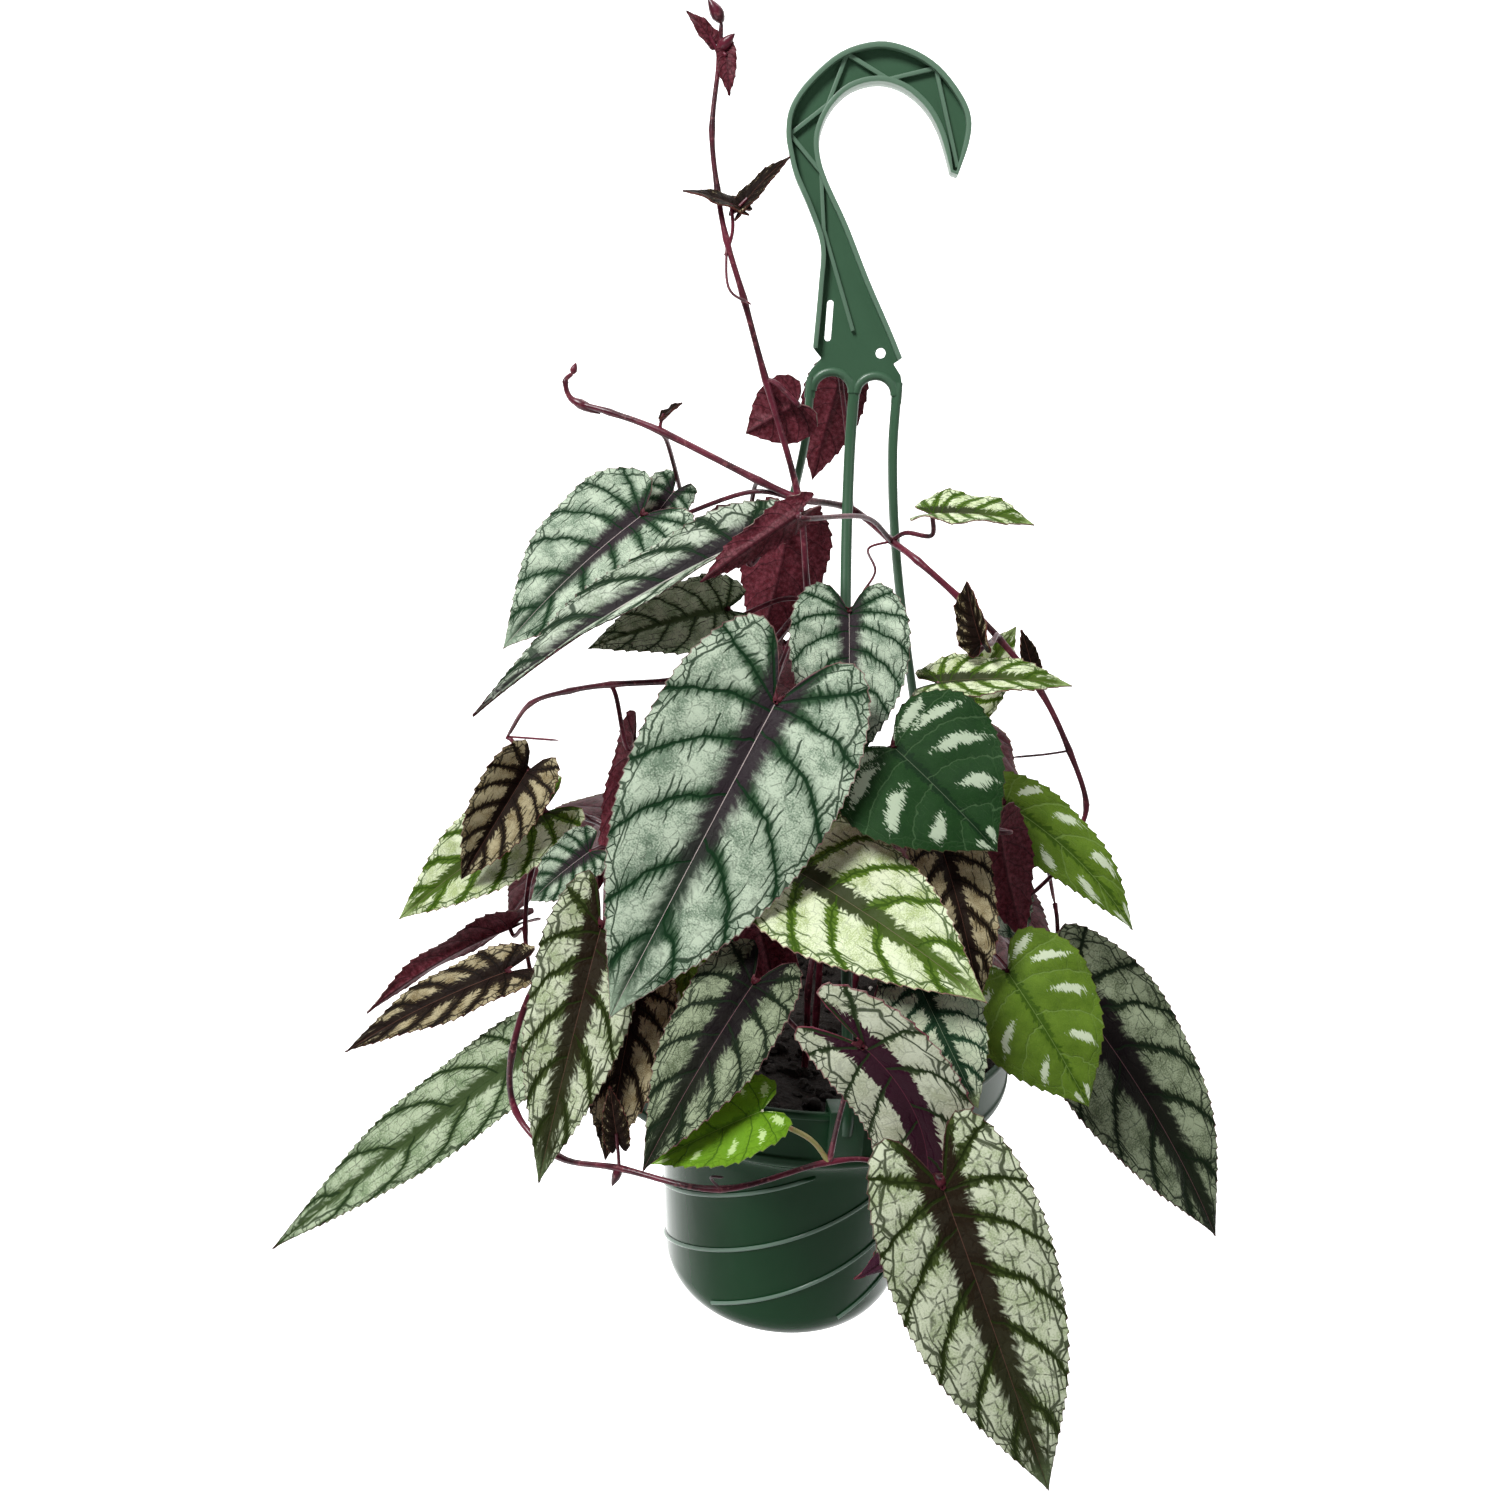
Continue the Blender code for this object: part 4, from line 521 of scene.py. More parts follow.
def blade_mesh(name, row, number, tooth=TOOTH_SIZE, tooth_step=TOOTH_STEP, thickness=BLADE_LOOK):
    """A closed blade with teeth, a sunken midrib and quilted veins, and the maps for its markings."""
    turn, joint, length, half_width, up = blade_frame(row)
    tooth = min(tooth, TOOTH_SHARE * length)
    half_x, half_y, places, margin, walked = blade_grid(length, half_width, tooth, tooth_step)
    columns, rows = half_x.shape
    across = np.repeat(np.array(CROSS_ROWS)[None, :], columns, 0)
    share = half_y / length
    fine = min(1.1, max(0.5, (length / USUAL_LENGTH) ** 0.8))
    shift_x, shift_y = [step * number for step in MAP_SHIFT]
    halves = []
    for side, veins in zip((1, -1), FEW_VEINS if LOOKS[row.kind].spots else MANY_VEINS):
        count, spacing = vein_fields(half_x, half_y, places, veins)
        relief = QUILT * np.minimum(spacing, QUILT_SPACING) * np.abs(np.sin(np.pi * count)) ** 0.8
        relief *= smooth_step(0.0, 0.25, across) * smooth_step(1.0, 0.8, across)
        relief -= MIDRIB_SINK * np.exp(-(half_x / 1.5) ** 2) * np.clip(1.1 - share, 0, 1)
        halves.append((half_x * side, half_y, relief, count, across,
                       half_x * side / fine + shift_x, half_y / fine + shift_y, half_x / fine,
                       margin / fine, spacing / fine, walked / fine, share,
                       np.full_like(share, number)))
    flat_x, flat_y, relief, *maps = [np.concatenate([half.ravel() for half in both])
                                     for both in zip(*halves)]
    keys = np.round(np.stack((flat_x, flat_y), 1) * 1000).astype(int)
    _, first, joined = np.unique(keys, axis=0, return_index=True, return_inverse=True)
    joined = joined.ravel()
    flat_x, flat_y, relief = flat_x[first], flat_y[first], relief[first]
    upper = shaped(flat_x, flat_y, relief, row, length, half_width) @ turn + joint
    grid = np.arange(2 * columns * rows).reshape(2, columns, rows)
    rings = np.stack((grid[:, :-1, :-1], grid[:, 1:, :-1], grid[:, 1:, 1:], grid[:, :-1, 1:]), axis=-1)
    rings[1] = rings[1, ..., ::-1]
    faces, corners = [], []
    for ring in rings.reshape(-1, 4).tolist():
        kept = [c for k, c in enumerate(ring) if joined[c] != joined[ring[k - 1]]]
        if len(kept) > 2:
            faces.append([joined[c] for c in kept])
            corners.append(kept)
    triangles = np.array([(f[0], f[k], f[k + 1]) for f in faces for k in range(1, len(f) - 1)])
    a, b, c = [upper[triangles[:, k]] for k in range(3)]
    face_normals = np.cross(b - a, c - a)
    normals = np.zeros_like(upper)
    for k in range(3):
        np.add.at(normals, triangles[:, k], face_normals)
    normals /= np.maximum(np.linalg.norm(normals, axis=1), 1e-12)[:, None]
    sign = 1.0 if (normals @ np.array(up)).sum() > 0 else -1.0
    depth = thickness + MIDRIB_RAISE * np.exp(-(flat_x / 0.9) ** 2) * np.clip(1.1 - flat_y / length, 0, 1)
    lower = upper - normals * (sign * depth)[:, None]
    total = len(upper)
    points = np.vstack((upper, lower))
    points[:, 1] = np.maximum(points[:, 1], FRONT_LIMIT)
    top_count = len(faces)
    faces += [[c + total for c in reversed(f)] for f in faces]
    corners += [c[::-1] for c in corners]
    rims = np.stack((grid[:, :-1, -1], grid[:, 1:, -1]), axis=-1)
    rims[1] = rims[1, ..., ::-1]
    for a, b in rims.reshape(-1, 2).tolist():
        if joined[a] != joined[b]:
            faces.append([joined[a], joined[b], joined[b] + total, joined[a] + total])
            corners.append([a, b, b, a])
    if sign < 0:
        faces = [f[::-1] for f in faces]
        corners = [c[::-1] for c in corners]
    mesh = new_mesh(name, points.tolist(), faces, 70)
    flat_corners = np.array([c for ring in corners for c in ring])
    for k, (label, _, _) in enumerate(MAPS):
        layer = mesh.uv_layers.new(name=label)
        pair = np.stack((maps[2 * k][flat_corners], maps[2 * k + 1][flat_corners]), 1)
        layer.data.foreach_set("uv", pair.ravel())
    which = np.zeros(len(faces), dtype=np.int32)
    which[top_count:2 * top_count] = 1
    mesh.polygons.foreach_set("material_index", which)
    mesh.update()
    return mesh


def smooth(mesh, angle):
    """Shades a mesh smooth where its faces meet below the angle."""
    mesh.shade_smooth()
    mesh.set_sharp_from_angle(angle=math.radians(angle))


def new_mesh(name, verts, faces, angle=None):
    """A mesh from points in millimetres."""
    mesh = bpy.data.meshes.new(name)
    mesh.from_pydata([[c * MM for c in v] for v in verts], [], faces)
    if angle:
        smooth(mesh, angle)
    return mesh


def link(name, data):
    item = bpy.data.objects.new(name, data)
    bpy.context.scene.collection.objects.link(item)
    return item


def plain(name, verts, faces):
    return link(name, new_mesh(name, verts, faces))


def show(name, mesh, materials, replaced=()):
    """Makes a mesh a piece of the plant that rides with the row's one body."""
    for material in materials:
        mesh.materials.append(material)
    item = link(name, mesh)
    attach(item, "root")
    if replaced:
        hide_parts(*replaced)


class Value:
    """An output in a material's node tree, on which Python's own operators work."""

    def __init__(self, tree, socket):
        self.tree, self.socket = tree, socket

    def math(self, operation, *others):
        return self.tree.add("Math", dict(enumerate((self, *others))), operation=operation)

    def __rsub__(self, other):
        return self.tree.add("Math", {0: other, 1: self}, operation="SUBTRACT")

    __add__ = partialmethod(math, "ADD")
    __sub__ = partialmethod(math, "SUBTRACT")
    __mul__ = partialmethod(math, "MULTIPLY")
    __truediv__ = partialmethod(math, "DIVIDE")
    line = partialmethod(math, "MULTIPLY_ADD")
    most = partialmethod(math, "MAXIMUM")

    def step(self, low, high):
        """0 at low and 1 at high, smooth between. Low may be the larger."""
        return self.tree.add("MapRange", {"Value": self, "From Min": low, "From Max": high}, "Result",
                             interpolation_type="SMOOTHSTEP")


class Tree:
    """A material's node tree, with short calls for the nodes that the looks need."""

    def __init__(self, name):
        self.material = bpy.data.materials.new(name)
        self.material.use_nodes = True
        self.nodes = self.material.node_tree.nodes

    def feed(self, node, sockets):
        """Links or sets each named or numbered input of a node."""
        for key, value in sockets.items():
            socket = node.inputs[key]
            if isinstance(value, Value):
                self.material.node_tree.links.new(value.socket, socket)
            elif isinstance(value, tuple) and len(value) < len(socket.default_value):
                socket.default_value = (*value, 1.0)
            else:
                socket.default_value = value

    def add(self, kind, sockets, output=0, **settings):
        """A new node with its settings made and its sockets fed, told by one of its outputs."""
        node = self.nodes.new("ShaderNode" + kind)
        for name, setting in settings.items():
            setattr(node, name, setting)
        self.feed(node, sockets)
        return Value(self, node.outputs[output])

    def mix(self, share, a, b):
        return self.add("Mix", {0: share, 6: a, 7: b}, 2, data_type="RGBA")

    def place(self):
        return self.add("TexCoord", {}, "Object")

    def split(self, vector):
        node = self.nodes.new("ShaderNodeSeparateXYZ")
        self.feed(node, {0: vector})
        return [Value(self, socket) for socket in node.outputs]

    def combine(self, *values):
        return self.add("CombineXYZ", dict(enumerate(values)))

    def noise(self, vector, scale, detail=2.0):
        return self.add("TexNoise", {"Vector": vector, "Scale": scale, "Detail": detail})

    def chance(self, *values):
        """A random number from 0 to 1 for each set of three values."""
        return self.add("TexWhiteNoise", {"Vector": self.combine(*values)}, "Value")

    def cells(self, vector, scale):
        return self.add("TexVoronoi", {"Vector": vector, "Scale": scale}, "Distance",
                        feature="DISTANCE_TO_EDGE")

    def finish(self, colour, roughness, specular=0.5, bump=None):
        """Sets the shader, with a bump given by its height, strength and distance."""
        shader = {"Base Color": colour, "Roughness": roughness, "Specular IOR Level": specular}
        if bump:
            shader["Normal"] = self.add("Bump", dict(zip(("Height", "Strength", "Distance"), bump)))
        self.feed(self.nodes["Principled BSDF"], shader)
        return self.material


def blade_values(tree, slow_scale):
    """The maps of a blade as values, with its place between the side veins a little warped."""
    at = SimpleNamespace(flat=tree.add("UVMap", {}, uv_map="flat"))
    for label, *names in MAPS:
        for name, value in zip(names, tree.split(tree.add("UVMap", {}, uv_map=label))):
            setattr(at, name, value)
    at.slow = tree.noise(at.flat, slow_scale)
    at.place = at.count + at.slow.line(0.30, -0.15)
    at.between = at.place.math("PINGPONG", 0.5)
    at.near = at.between * at.spacing
    return at


def leaf_upper(kind):
    """The upper side of a leaf: pale patches between dark veins with combs of small ticks."""
    look = LOOKS[kind]
    tree = Tree("leaf_" + kind)
    at = blade_values(tree, 0.12)
    wavy = tree.noise(at.flat, 0.50)
    grain = tree.noise(at.flat, 1.9, 3.0)
    side = (at.place * 2.0).math("FLOOR")
    seed = side.line(5.3, at.number * 3.7)

    # Points that stand out across a side vein, and streaks that run along it.
    points = tree.noise(tree.combine(at.walked * 1.25, at.near * 0.30, seed), 1.0, 2.5)
    streaks = tree.noise(tree.combine(at.place * 11.0, at.walked * 0.20, at.number), 1.0, 2.5)

    # The band along a side vein, wider towards the midrib.
    closeness = at.from_rib.step(17.0, 2.0) * at.share.line(-0.8, 1.0)
    width = closeness.line(look.band_near, wavy.line(look.band_width * 0.9, look.band_width * 0.55))
    edge = (points - 0.5).line(-look.ragged, at.near) - width
    band = edge.step(look.band_soft, -look.band_soft)

    # The vein itself, its comb of ticks, and the loops and cells near the margin.
    core = at.near.step(look.core * 1.5, look.core * 0.7)
    rung = at.walked.line(1 / RUNG, side * 0.37) + at.slow * 2.2
    rung_at = rung.math("PINGPONG", 0.5) * RUNG
    reach = tree.chance(rung.math("ROUND"), side, at.number).math("POWER", 3.0).line(8.0, 1.3)
    thin = at.near.step(0.0, reach).line(-0.35 * look.net, look.net)
    tick = rung_at.step(thin * 1.5, thin * 0.6) * at.near.step(reach, reach * 0.6)
    scallop = at.between.line(-6.0, 5.4) + at.slow.line(4.0, -2.0)
    loop = (at.from_margin - scallop).math("ABSOLUTE").step(look.net * 1.5, look.net * 0.6)
    cell = tree.cells(at.flat, 0.26).step(look.net * 0.17, look.net * 0.06)
    inside = wavy.step(0.36, 0.60) * look.mesh
    outside = at.from_margin.step(scallop, scallop * 0.8)
    net = tick.most(loop).most(cell * inside.most(outside))

    # The centre along the midrib, the midrib and the rim.
    narrowing = at.share.line(-look.centre_width * (1 - look.centre_tip), look.centre_width)
    plume = (streaks - 0.5).line(look.centre_ragged, at.from_rib)
    plume = (points - 0.5).line(-look.ragged * 0.4, plume) - narrowing
    centre = plume.step(look.centre_soft, -look.centre_soft)
    rib_width = at.share.line(look.rib_width * -0.45, look.rib_width)
    rib = at.from_rib.step(rib_width * 1.3, rib_width * 0.6)
    rim = at.from_margin.step(0.42, 0.16)

    # The ground colour, and the covers over it: how much of each, and its colour.
    light = wavy.line(0.25, at.slow * 0.75) + grain.line(0.70, -0.35)
    if look.spots:
        along, aside, middle = look.spots
        across = (0.5 - at.between) * at.spacing / aside
        down = (at.across - middle) * 26.0 / along
        far = (across * across + down * down).math("SQRT") + points.line(2.0, -1.0)
        far = far + tree.chance(side, at.place.math("FLOOR"), at.number) * 0.35
        colour = tree.mix(light, look.band, look.dull)
        covers = [(centre, 0.8, look.centre), (net, 0.22, look.vein), (core, 0.75, look.vein),
                  (far.step(1.12, 0.86), 0.92, look.patch)]
    else:
        colour = tree.mix(light.step(0.30, 0.62), look.dull, look.patch)
        shade = at.near.step(wavy.line(look.shade, points * (look.shade * 0.5)), 0.0)
        middle = look.centre
        if look.tip_centre:
            middle = tree.mix(at.share.step(0.25, 0.80), middle, look.tip_centre)
        covers = [(shade, look.shade_share, look.dull), (band, look.band_share, look.band),
                  (net, look.net_share, look.vein), (centre, 0.985, middle), (core, 0.95, look.vein)]
        if look.tip:
            covers.append((at.share.step(0.84, 0.97), look.tip_share, look.tip))
    for cover, share, tint in covers + [(rib, 0.9, look.rib), (rim, 0.75, look.rim)]:
        colour = tree.mix(cover * share, colour, tint)
    height = core.most(net * 0.7).line(-1.0, grain * 0.5)
    return tree.finish(colour, 0.42, 0.06, (height, 0.6, 0.0005))


def leaf_under():
    """The lower side of every leaf: dusty maroon cells between darker small veins."""
    tree = Tree("leaf_lower_side")
    at = blade_values(tree, 0.16)
    line = at.near.step(0.50, 0.2).most(at.from_rib.step(0.6, 0.3))
    net = tree.cells(at.flat, 0.40).step(0.07, 0.02)
    light = tree.noise(at.flat, 0.35).line(0.9, tree.noise(at.flat, 1.6, 3.0) * 0.3)
    colour = tree.mix(light.step(0.42, 0.80), UNDER, UNDER_PALE)
    for cover, share in ((net, 0.45), (line, 0.55)):
        colour = tree.mix(cover * share, colour, UNDER_NET)
    return tree.finish(colour, 0.50, 0.18, (line.most(net * 0.5), 0.6, 0.0005))


def make_leaves(looks, lower):
    for number, row in enumerate(LEAVES):
        name = row.name + "_blade"
        show(name, blade_mesh(name, row, number), [looks[row.kind], lower], [row.name])


def sweep(points, radii, sides, flat=1.0, side_hint=(0.31, 0.87, 0.38)):
    """Vertices and faces of a closed tube along points."""
    points = [Vector(p) for p in points]
    side = Vector(side_hint)
    verts, faces = [], []
    for before, point, after, radius in zip(points[:1] + points, points, points[1:] + points[-1:], radii):
        ahead = (after - before).normalized()
        side = (side - ahead * side.dot(ahead)).normalized()
        other = ahead.cross(side)
        for k in range(sides):
            angle = 2 * math.pi * (k + 0.5) / sides
            verts.append(point + side * math.cos(angle) * radius
                         + other * math.sin(angle) * radius * flat)
    for first in range(0, len(verts) - sides, sides):
        for k in range(sides):
            a, b = first + k, first + (k + 1) % sides
            faces.append((a, b, b + sides, a + sides))
    faces += [tuple(reversed(range(sides))), tuple(range(len(verts) - sides, len(verts)))]
    return verts, faces


def smooth_run(points, pieces):
    return [Vector(p) for p in catmull([tuple(p) for p in points], pieces)]


def rounded_ends(radii, count=2):
    """Radii that close in a round tip."""
    result = list(radii)
    for k in range(count):
        result[-1 - k] *= (0.35, 0.8)[k]
    return result


def merged(shells):
    """The points and the faces of several closed shells as one list of each."""
    verts, faces = [], []
    for points, rings in shells:
        faces += [[c + len(verts) for c in ring] for ring in rings]
        verts += points
    return verts, faces


def vine_run(points):
    """A vine's smooth path and radii, a little thicker at each point where leaves grow."""
    path = smooth_run(points, VINE_PIECES)
    radii = []
    for k in range(len(path)):
        share = k / (len(path) - 1)
        radius = VINE_RADIUS + (VINE_TIP_RADIUS - VINE_RADIUS) * share ** 1.5
        radii.append(radius + (VINE_KNOTS.get(k % VINE_PIECES, 0.0) if k else 0.0))
    return path, rounded_ends(radii)


def petiole(row):
    start = Vector([p for run in VINES[row.stem] for p in run][row.node])
    up = blade_frame(row)[4]
    end = Vector(row.joint) - up * (BLADE_LOOK + 0.1)
    span = (end - start).length
    knee = end - up * min(9.0, span * 0.4)
    rise = start + (knee - start) * 0.35 + Vector((0, 0, 0.10 * span))
    path = smooth_run((start, rise, knee, end), 8)
    radii = [PETIOLE_RADIUS * (1.25 - 0.25 * min(1.0, k / 3)) for k in range(len(path))]
    radii[-1] = PETIOLE_RADIUS * 1.1
    return path, radii


def bud(at, towards, length, radius):
    start = Vector(at)
    ahead = Vector(towards).normalized()
    points = [start + ahead * length * (s - 0.08) for s, _ in BUD_STATIONS]
    return points, [radius * r for _, r in BUD_STATIONS]


def stem_material(name, dark, light, streak):
    """A stem's skin with fine streaks and blotches along it."""
    tree = Tree(name)
    place = tree.place()
    fine = tree.noise(place, 700.0)
    colour = tree.mix(tree.noise(place, 90.0, 3.0).step(0.35, 0.7), dark, light)
    colour = tree.mix(fine.step(0.55, 0.75) * 0.6, colour, streak)
    return tree.finish(colour, 0.32, bump=(fine, 0.4, 0.0003))


def make_stems(looks, lower):
    maroon = stem_material("stem_maroon", (0.045, 0.006, 0.012), (0.165, 0.020, 0.042), (0.36, 0.12, 0.13))
    green = stem_material("stem_pale", (0.22, 0.24, 0.07), (0.40, 0.36, 0.14), (0.40, 0.12, 0.10))
    for name, runs in VINES.items():
        tubes = [sweep(*vine_run(run), 12) for run in runs]
        stalks = [row for row in LEAVES if row.stem == name]
        tubes += [sweep(*petiole(row), 10) for row in stalks if row.name not in PALE_STALKS]
        for path in [smooth_run(points, 8) for owner, points in TENDRILS if owner == name]:
            tubes.append(sweep(path, rounded_ends([TENDRIL_RADIUS] * len(path)), 8))
        tubes += [sweep(*bud(*row), 10) for owner, *row in BUDS if owner == name]
        for number, (owner, node, joint, tip, face, width) in enumerate(YOUNG_LEAVES):
            if owner != name:
                continue
            row = leaf("young", name, 0, joint, tip, face, width, droop=20, wave=0.6)
            mesh = blade_mesh("young", row, 60 + number, tooth=0.35, tooth_step=2.6, thickness=0.5)
            upper = lower if number in RED_TIPS else looks["brown"]
            show(f"young_leaf_{number + 1}", mesh, [upper, lower])
            root, base = Vector(node), Vector(joint)
            stalk = smooth_run((root, (root + base) / 2, base + (Vector(tip) - base) * 0.15), 4)
            tubes.append(sweep(stalk, [0.6] * len(stalk), 8))
        show("stems_" + name, new_mesh("stems_" + name, *merged(tubes), 60), [maroon],
             ["vine_" + name])
        pale = [sweep(*petiole(row), 10) for row in stalks if row.name in PALE_STALKS]
        if pale:
            show("stalks_" + name, new_mesh("stalks_" + name, *merged(pale), 60), [green])


def combine(base, others, operation):
    """Joins or cuts a base object with others, and removes those."""
    group = bpy.data.collections.new("group")
    for item in others:
        group.objects.link(item)
    boolean = base.modifiers.new("combine", "BOOLEAN")
    boolean.operation = operation
    boolean.operand_type = "COLLECTION"
    boolean.collection = group
    boolean.solver = "MANIFOLD"
    graph = bpy.context.evaluated_depsgraph_get()
    mesh = bpy.data.meshes.new_from_object(base.evaluated_get(graph))
    base.modifiers.clear()
    base.data = mesh
    base.data.materials.clear()
    for item in others:
        bpy.data.objects.remove(item, do_unlink=True)
    bpy.data.collections.remove(group)


def fillet(points, size, steps):
    """The profile with each inner corner rounded."""
    result = [points[0]]
    for a, b, c in zip(points, points[1:], points[2:]):
        a, b, c = Vector(a), Vector(b), Vector(c)
        reach = min(size, (a - b).length * 0.45, (c - b).length * 0.45)
        start = b + (a - b).normalized() * reach
        end = b + (c - b).normalized() * reach
        for k in range(steps + 1):
            t = k / steps
            result.append(tuple(start.lerp(b, t).lerp(b.lerp(end, t), t)))
    result.append(points[-1])
    return result


def turned(name, profile, sides):
    """A closed solid turned round the Z axis from a profile that starts and ends on it."""
    angles = [2 * math.pi * k / sides for k in range(sides)]
    verts = [(0, 0, profile[0][1])]
    verts += [(radius * math.cos(a), radius * math.sin(a), z) for radius, z in profile[1:-1] for a in angles]
    verts.append((0, 0, profile[-1][1]))

    def corner(i, k):
        """The number of a point, where each end of the profile is one point for all sides."""
        return min(1 + (i - 1) * sides + k % sides, len(verts) - 1) if i else 0

    faces = []
    for i in range(len(profile) - 1):
        for k in range(sides):
            ring = (corner(i, k), corner(i, k + 1), corner(i + 1, k + 1), corner(i + 1, k))
            faces.append(tuple(dict.fromkeys(ring)))
    return plain(name, verts, faces)


def body_radius(z):
    share = (z - CREASE_Z) / (BODY_TOP_Z - CREASE_Z)
    return CREASE_RADIUS + (BODY_TOP_RADIUS - CREASE_RADIUS) * share


def pot_profile():
    """The pot's section from the middle of its foot, up outside and down inside."""
    outer = [
        (0, BASE_Z), (BASE_RADIUS, BASE_Z), (45.0, -447.6), (47.4, -443.6), (CREASE_RADIUS, CREASE_Z),
        (BODY_TOP_RADIUS, BODY_TOP_Z), (55.4, -366.6), (60.5, -361.6), (70.0, -356.0),
        (BAND_RADIUS - 0.6, BAND_FOOT), (BAND_RADIUS, BAND_FOOT + 1.4), (BAND_RADIUS, BAND_FOOT + 3.6),
        (BAND_RADIUS - 0.7, BAND_FOOT + 4.2), (BAND_RADIUS - 0.7, BAND_TOP - 3.0),
        (BAND_RADIUS + 0.9, BAND_TOP - 2.4), (BAND_RADIUS + 0.9, BAND_TOP),
    ]
    inner = [
        (BAND_RADIUS - WALL, BAND_TOP), (BAND_RADIUS - WALL, BAND_FOOT + 1.0), (69.2, -354.2),
        (57.4, -361.0), (BODY_TOP_RADIUS - WALL, BODY_TOP_Z), (CREASE_RADIUS - WALL, CREASE_Z),
        (BASE_RADIUS, BASE_Z + WALL + 0.3), (0, BASE_Z + WALL + 0.3),
    ]
    return fillet(outer + inner, 3.0, 4)


def pot_material():
    """Dark green plastic, with a painted highlight that makes the ridges paler, and rougher on the band."""
    tree = Tree("pot_plastic")
    place = tree.place()
    x, y, z = tree.split(place)
    slope = (BODY_TOP_RADIUS - CREASE_RADIUS) / (BODY_TOP_Z - CREASE_Z)
    wall = z.line(slope, (CREASE_RADIUS - CREASE_Z * slope) * MM)
    # Painted highlight: the ridges on the body are painted pale along their tops, as if they caught the
    # light.
    raised = ((x * x + y * y).math("SQRT") - wall).step(0.25 * MM, 0.55 * MM)
    raised = raised * z.step((BODY_TOP_Z + 0.5) * MM, (BODY_TOP_Z - 1.5) * MM)
    colour = tree.mix(tree.noise(place, 40.0, 3.0), (0.007, 0.046, 0.015), (0.011, 0.060, 0.021))
    colour = tree.mix(raised * 0.8, colour, (0.230, 0.340, 0.270))
    worn = z.step((BAND_FOOT - 2.0) * MM, BAND_FOOT * MM)
    return tree.finish(colour, worn.line(0.30, 0.15), 0.24, (tree.noise(place, 60.0), 0.10, 0.0006))


def make_pot():
    pot = turned("pot_body", pot_profile(), POT_SIDES)
    ridges = []
    for index in range(RIDGE_COUNT):
        start = RIDGE_FIRST_AZIMUTH + index * 360.0 / RIDGE_COUNT
        points = []
        for k in range(RIDGE_STEPS + 1):
            height = CREASE_Z + (BODY_TOP_Z + 1.0 - CREASE_Z) * k / RIDGE_STEPS
            azimuth = math.radians(start + (height - CREASE_Z) / RIDGE_RISE_PER_DEGREE)
            radius = body_radius(height) + 0.1
            points.append((radius * math.sin(azimuth), -radius * math.cos(azimuth), height))
        ridges.append(plain("ridge", *sweep(points, [RIDGE_RADIUS] * len(points), 12)))
    combine(pot, ridges, "UNION")
    drains = []
    for degrees in range(30, 390, 60):
        angle = math.radians(degrees)
        x, y = DRAIN_RING * math.sin(angle), DRAIN_RING * math.cos(angle)
        drains.append(plain("drain", *sweep(((x, y, BASE_Z - 2), (x, y, BASE_Z + WALL + 3)),
                                            [DRAIN_RADIUS] * 2, 32)))
    combine(pot, drains, "DIFFERENCE")
    smooth(pot.data, 32)
    pot.data.materials.append(pot_material())
    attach(pot, "root")
    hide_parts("pot")


def soften(item, size, angle=50):
    """Turns an object's faces outwards and rounds its edges that are sharper than the angle."""
    shell = bmesh.new()
    shell.from_mesh(item.data)
    bmesh.ops.recalc_face_normals(shell, faces=shell.faces)
    sharp = [edge for edge in shell.edges if edge.calc_face_angle(0.0) > math.radians(angle)]
    bmesh.ops.bevel(shell, geom=sharp, offset=size * MM, segments=2, profile=0.6, affect="EDGES",
                    clamp_overlap=True)
    shell.to_mesh(item.data)
    shell.free()
    return item


def arch(x0, x1, z, rise):
    """An arch between two straps, from left to right."""
    angles = [math.pi * (1 - k / 14) for k in range(15)]
    return [((x0 + x1) / 2 + (x1 - x0) / 2 * math.cos(a), z + rise * math.sin(a)) for a in angles]


def flat_plate(name, outline, half_depth):
    """A closed plate from an outline in X and Z."""
    count = len(outline)
    verts = [(x, y, z) for y in (-half_depth, half_depth) for x, z in outline]
    faces = [tuple(range(count)), tuple(reversed(range(count, 2 * count)))]
    faces += [(k, k + count, (k + 1) % count + count, (k + 1) % count) for k in range(count)]
    return plain(name, verts, faces)


def flange(line):
    """The raised edge along the hook and its shank, thinner at the tip."""
    count = len(line)
    inside = []
    for k, point in enumerate(line):
        here = Vector(point)
        before, after = Vector(line[max(k - 1, 0)]), Vector(line[min(k + 1, count - 1)])
        ahead = (after - before).normalized()
        inward = Vector((-ahead.y, ahead.x))
        corner = 1.0
        if 0 < k < count - 1:
            run = after - here
            corner = max(0.5, abs(inward.dot(Vector((-run.y, run.x)).normalized())))
        wall = min(FLANGE_WALL, TIP_WALL + 0.1 * (here - Vector(HOOK_TIP)).length)
        inside.append(tuple(here + inward * wall / corner))
    verts = [(x, y, z) for y in (-FLANGE_DEPTH / 2, FLANGE_DEPTH / 2) for x, z in line + inside]
    back = 2 * count
    faces = [(0, count, count + back, back), (count - 1, count + back - 1, 2 * back - 1, back - 1)]
    for k in range(count - 1):
        ring = (k, k + 1, count + k + 1, count + k)
        faces += [ring, tuple(back + c for c in reversed(ring)), (k, back + k, back + k + 1, k + 1),
                  (count + k, count + k + 1, count + back + k + 1, count + back + k)]
    return soften(plain("flange", verts, faces), 0.45)


def rib(a, b):
    start, end = Vector(a), Vector(b)
    along = (end - start).normalized() * 0.8
    side = Vector((-along.y, along.x)) * 0.85
    outline = (start - along - side, end + along - side, end + along + side, start - along + side)
    return soften(flat_plate("rib", outline, RIB_DEPTH / 2), 0.35)


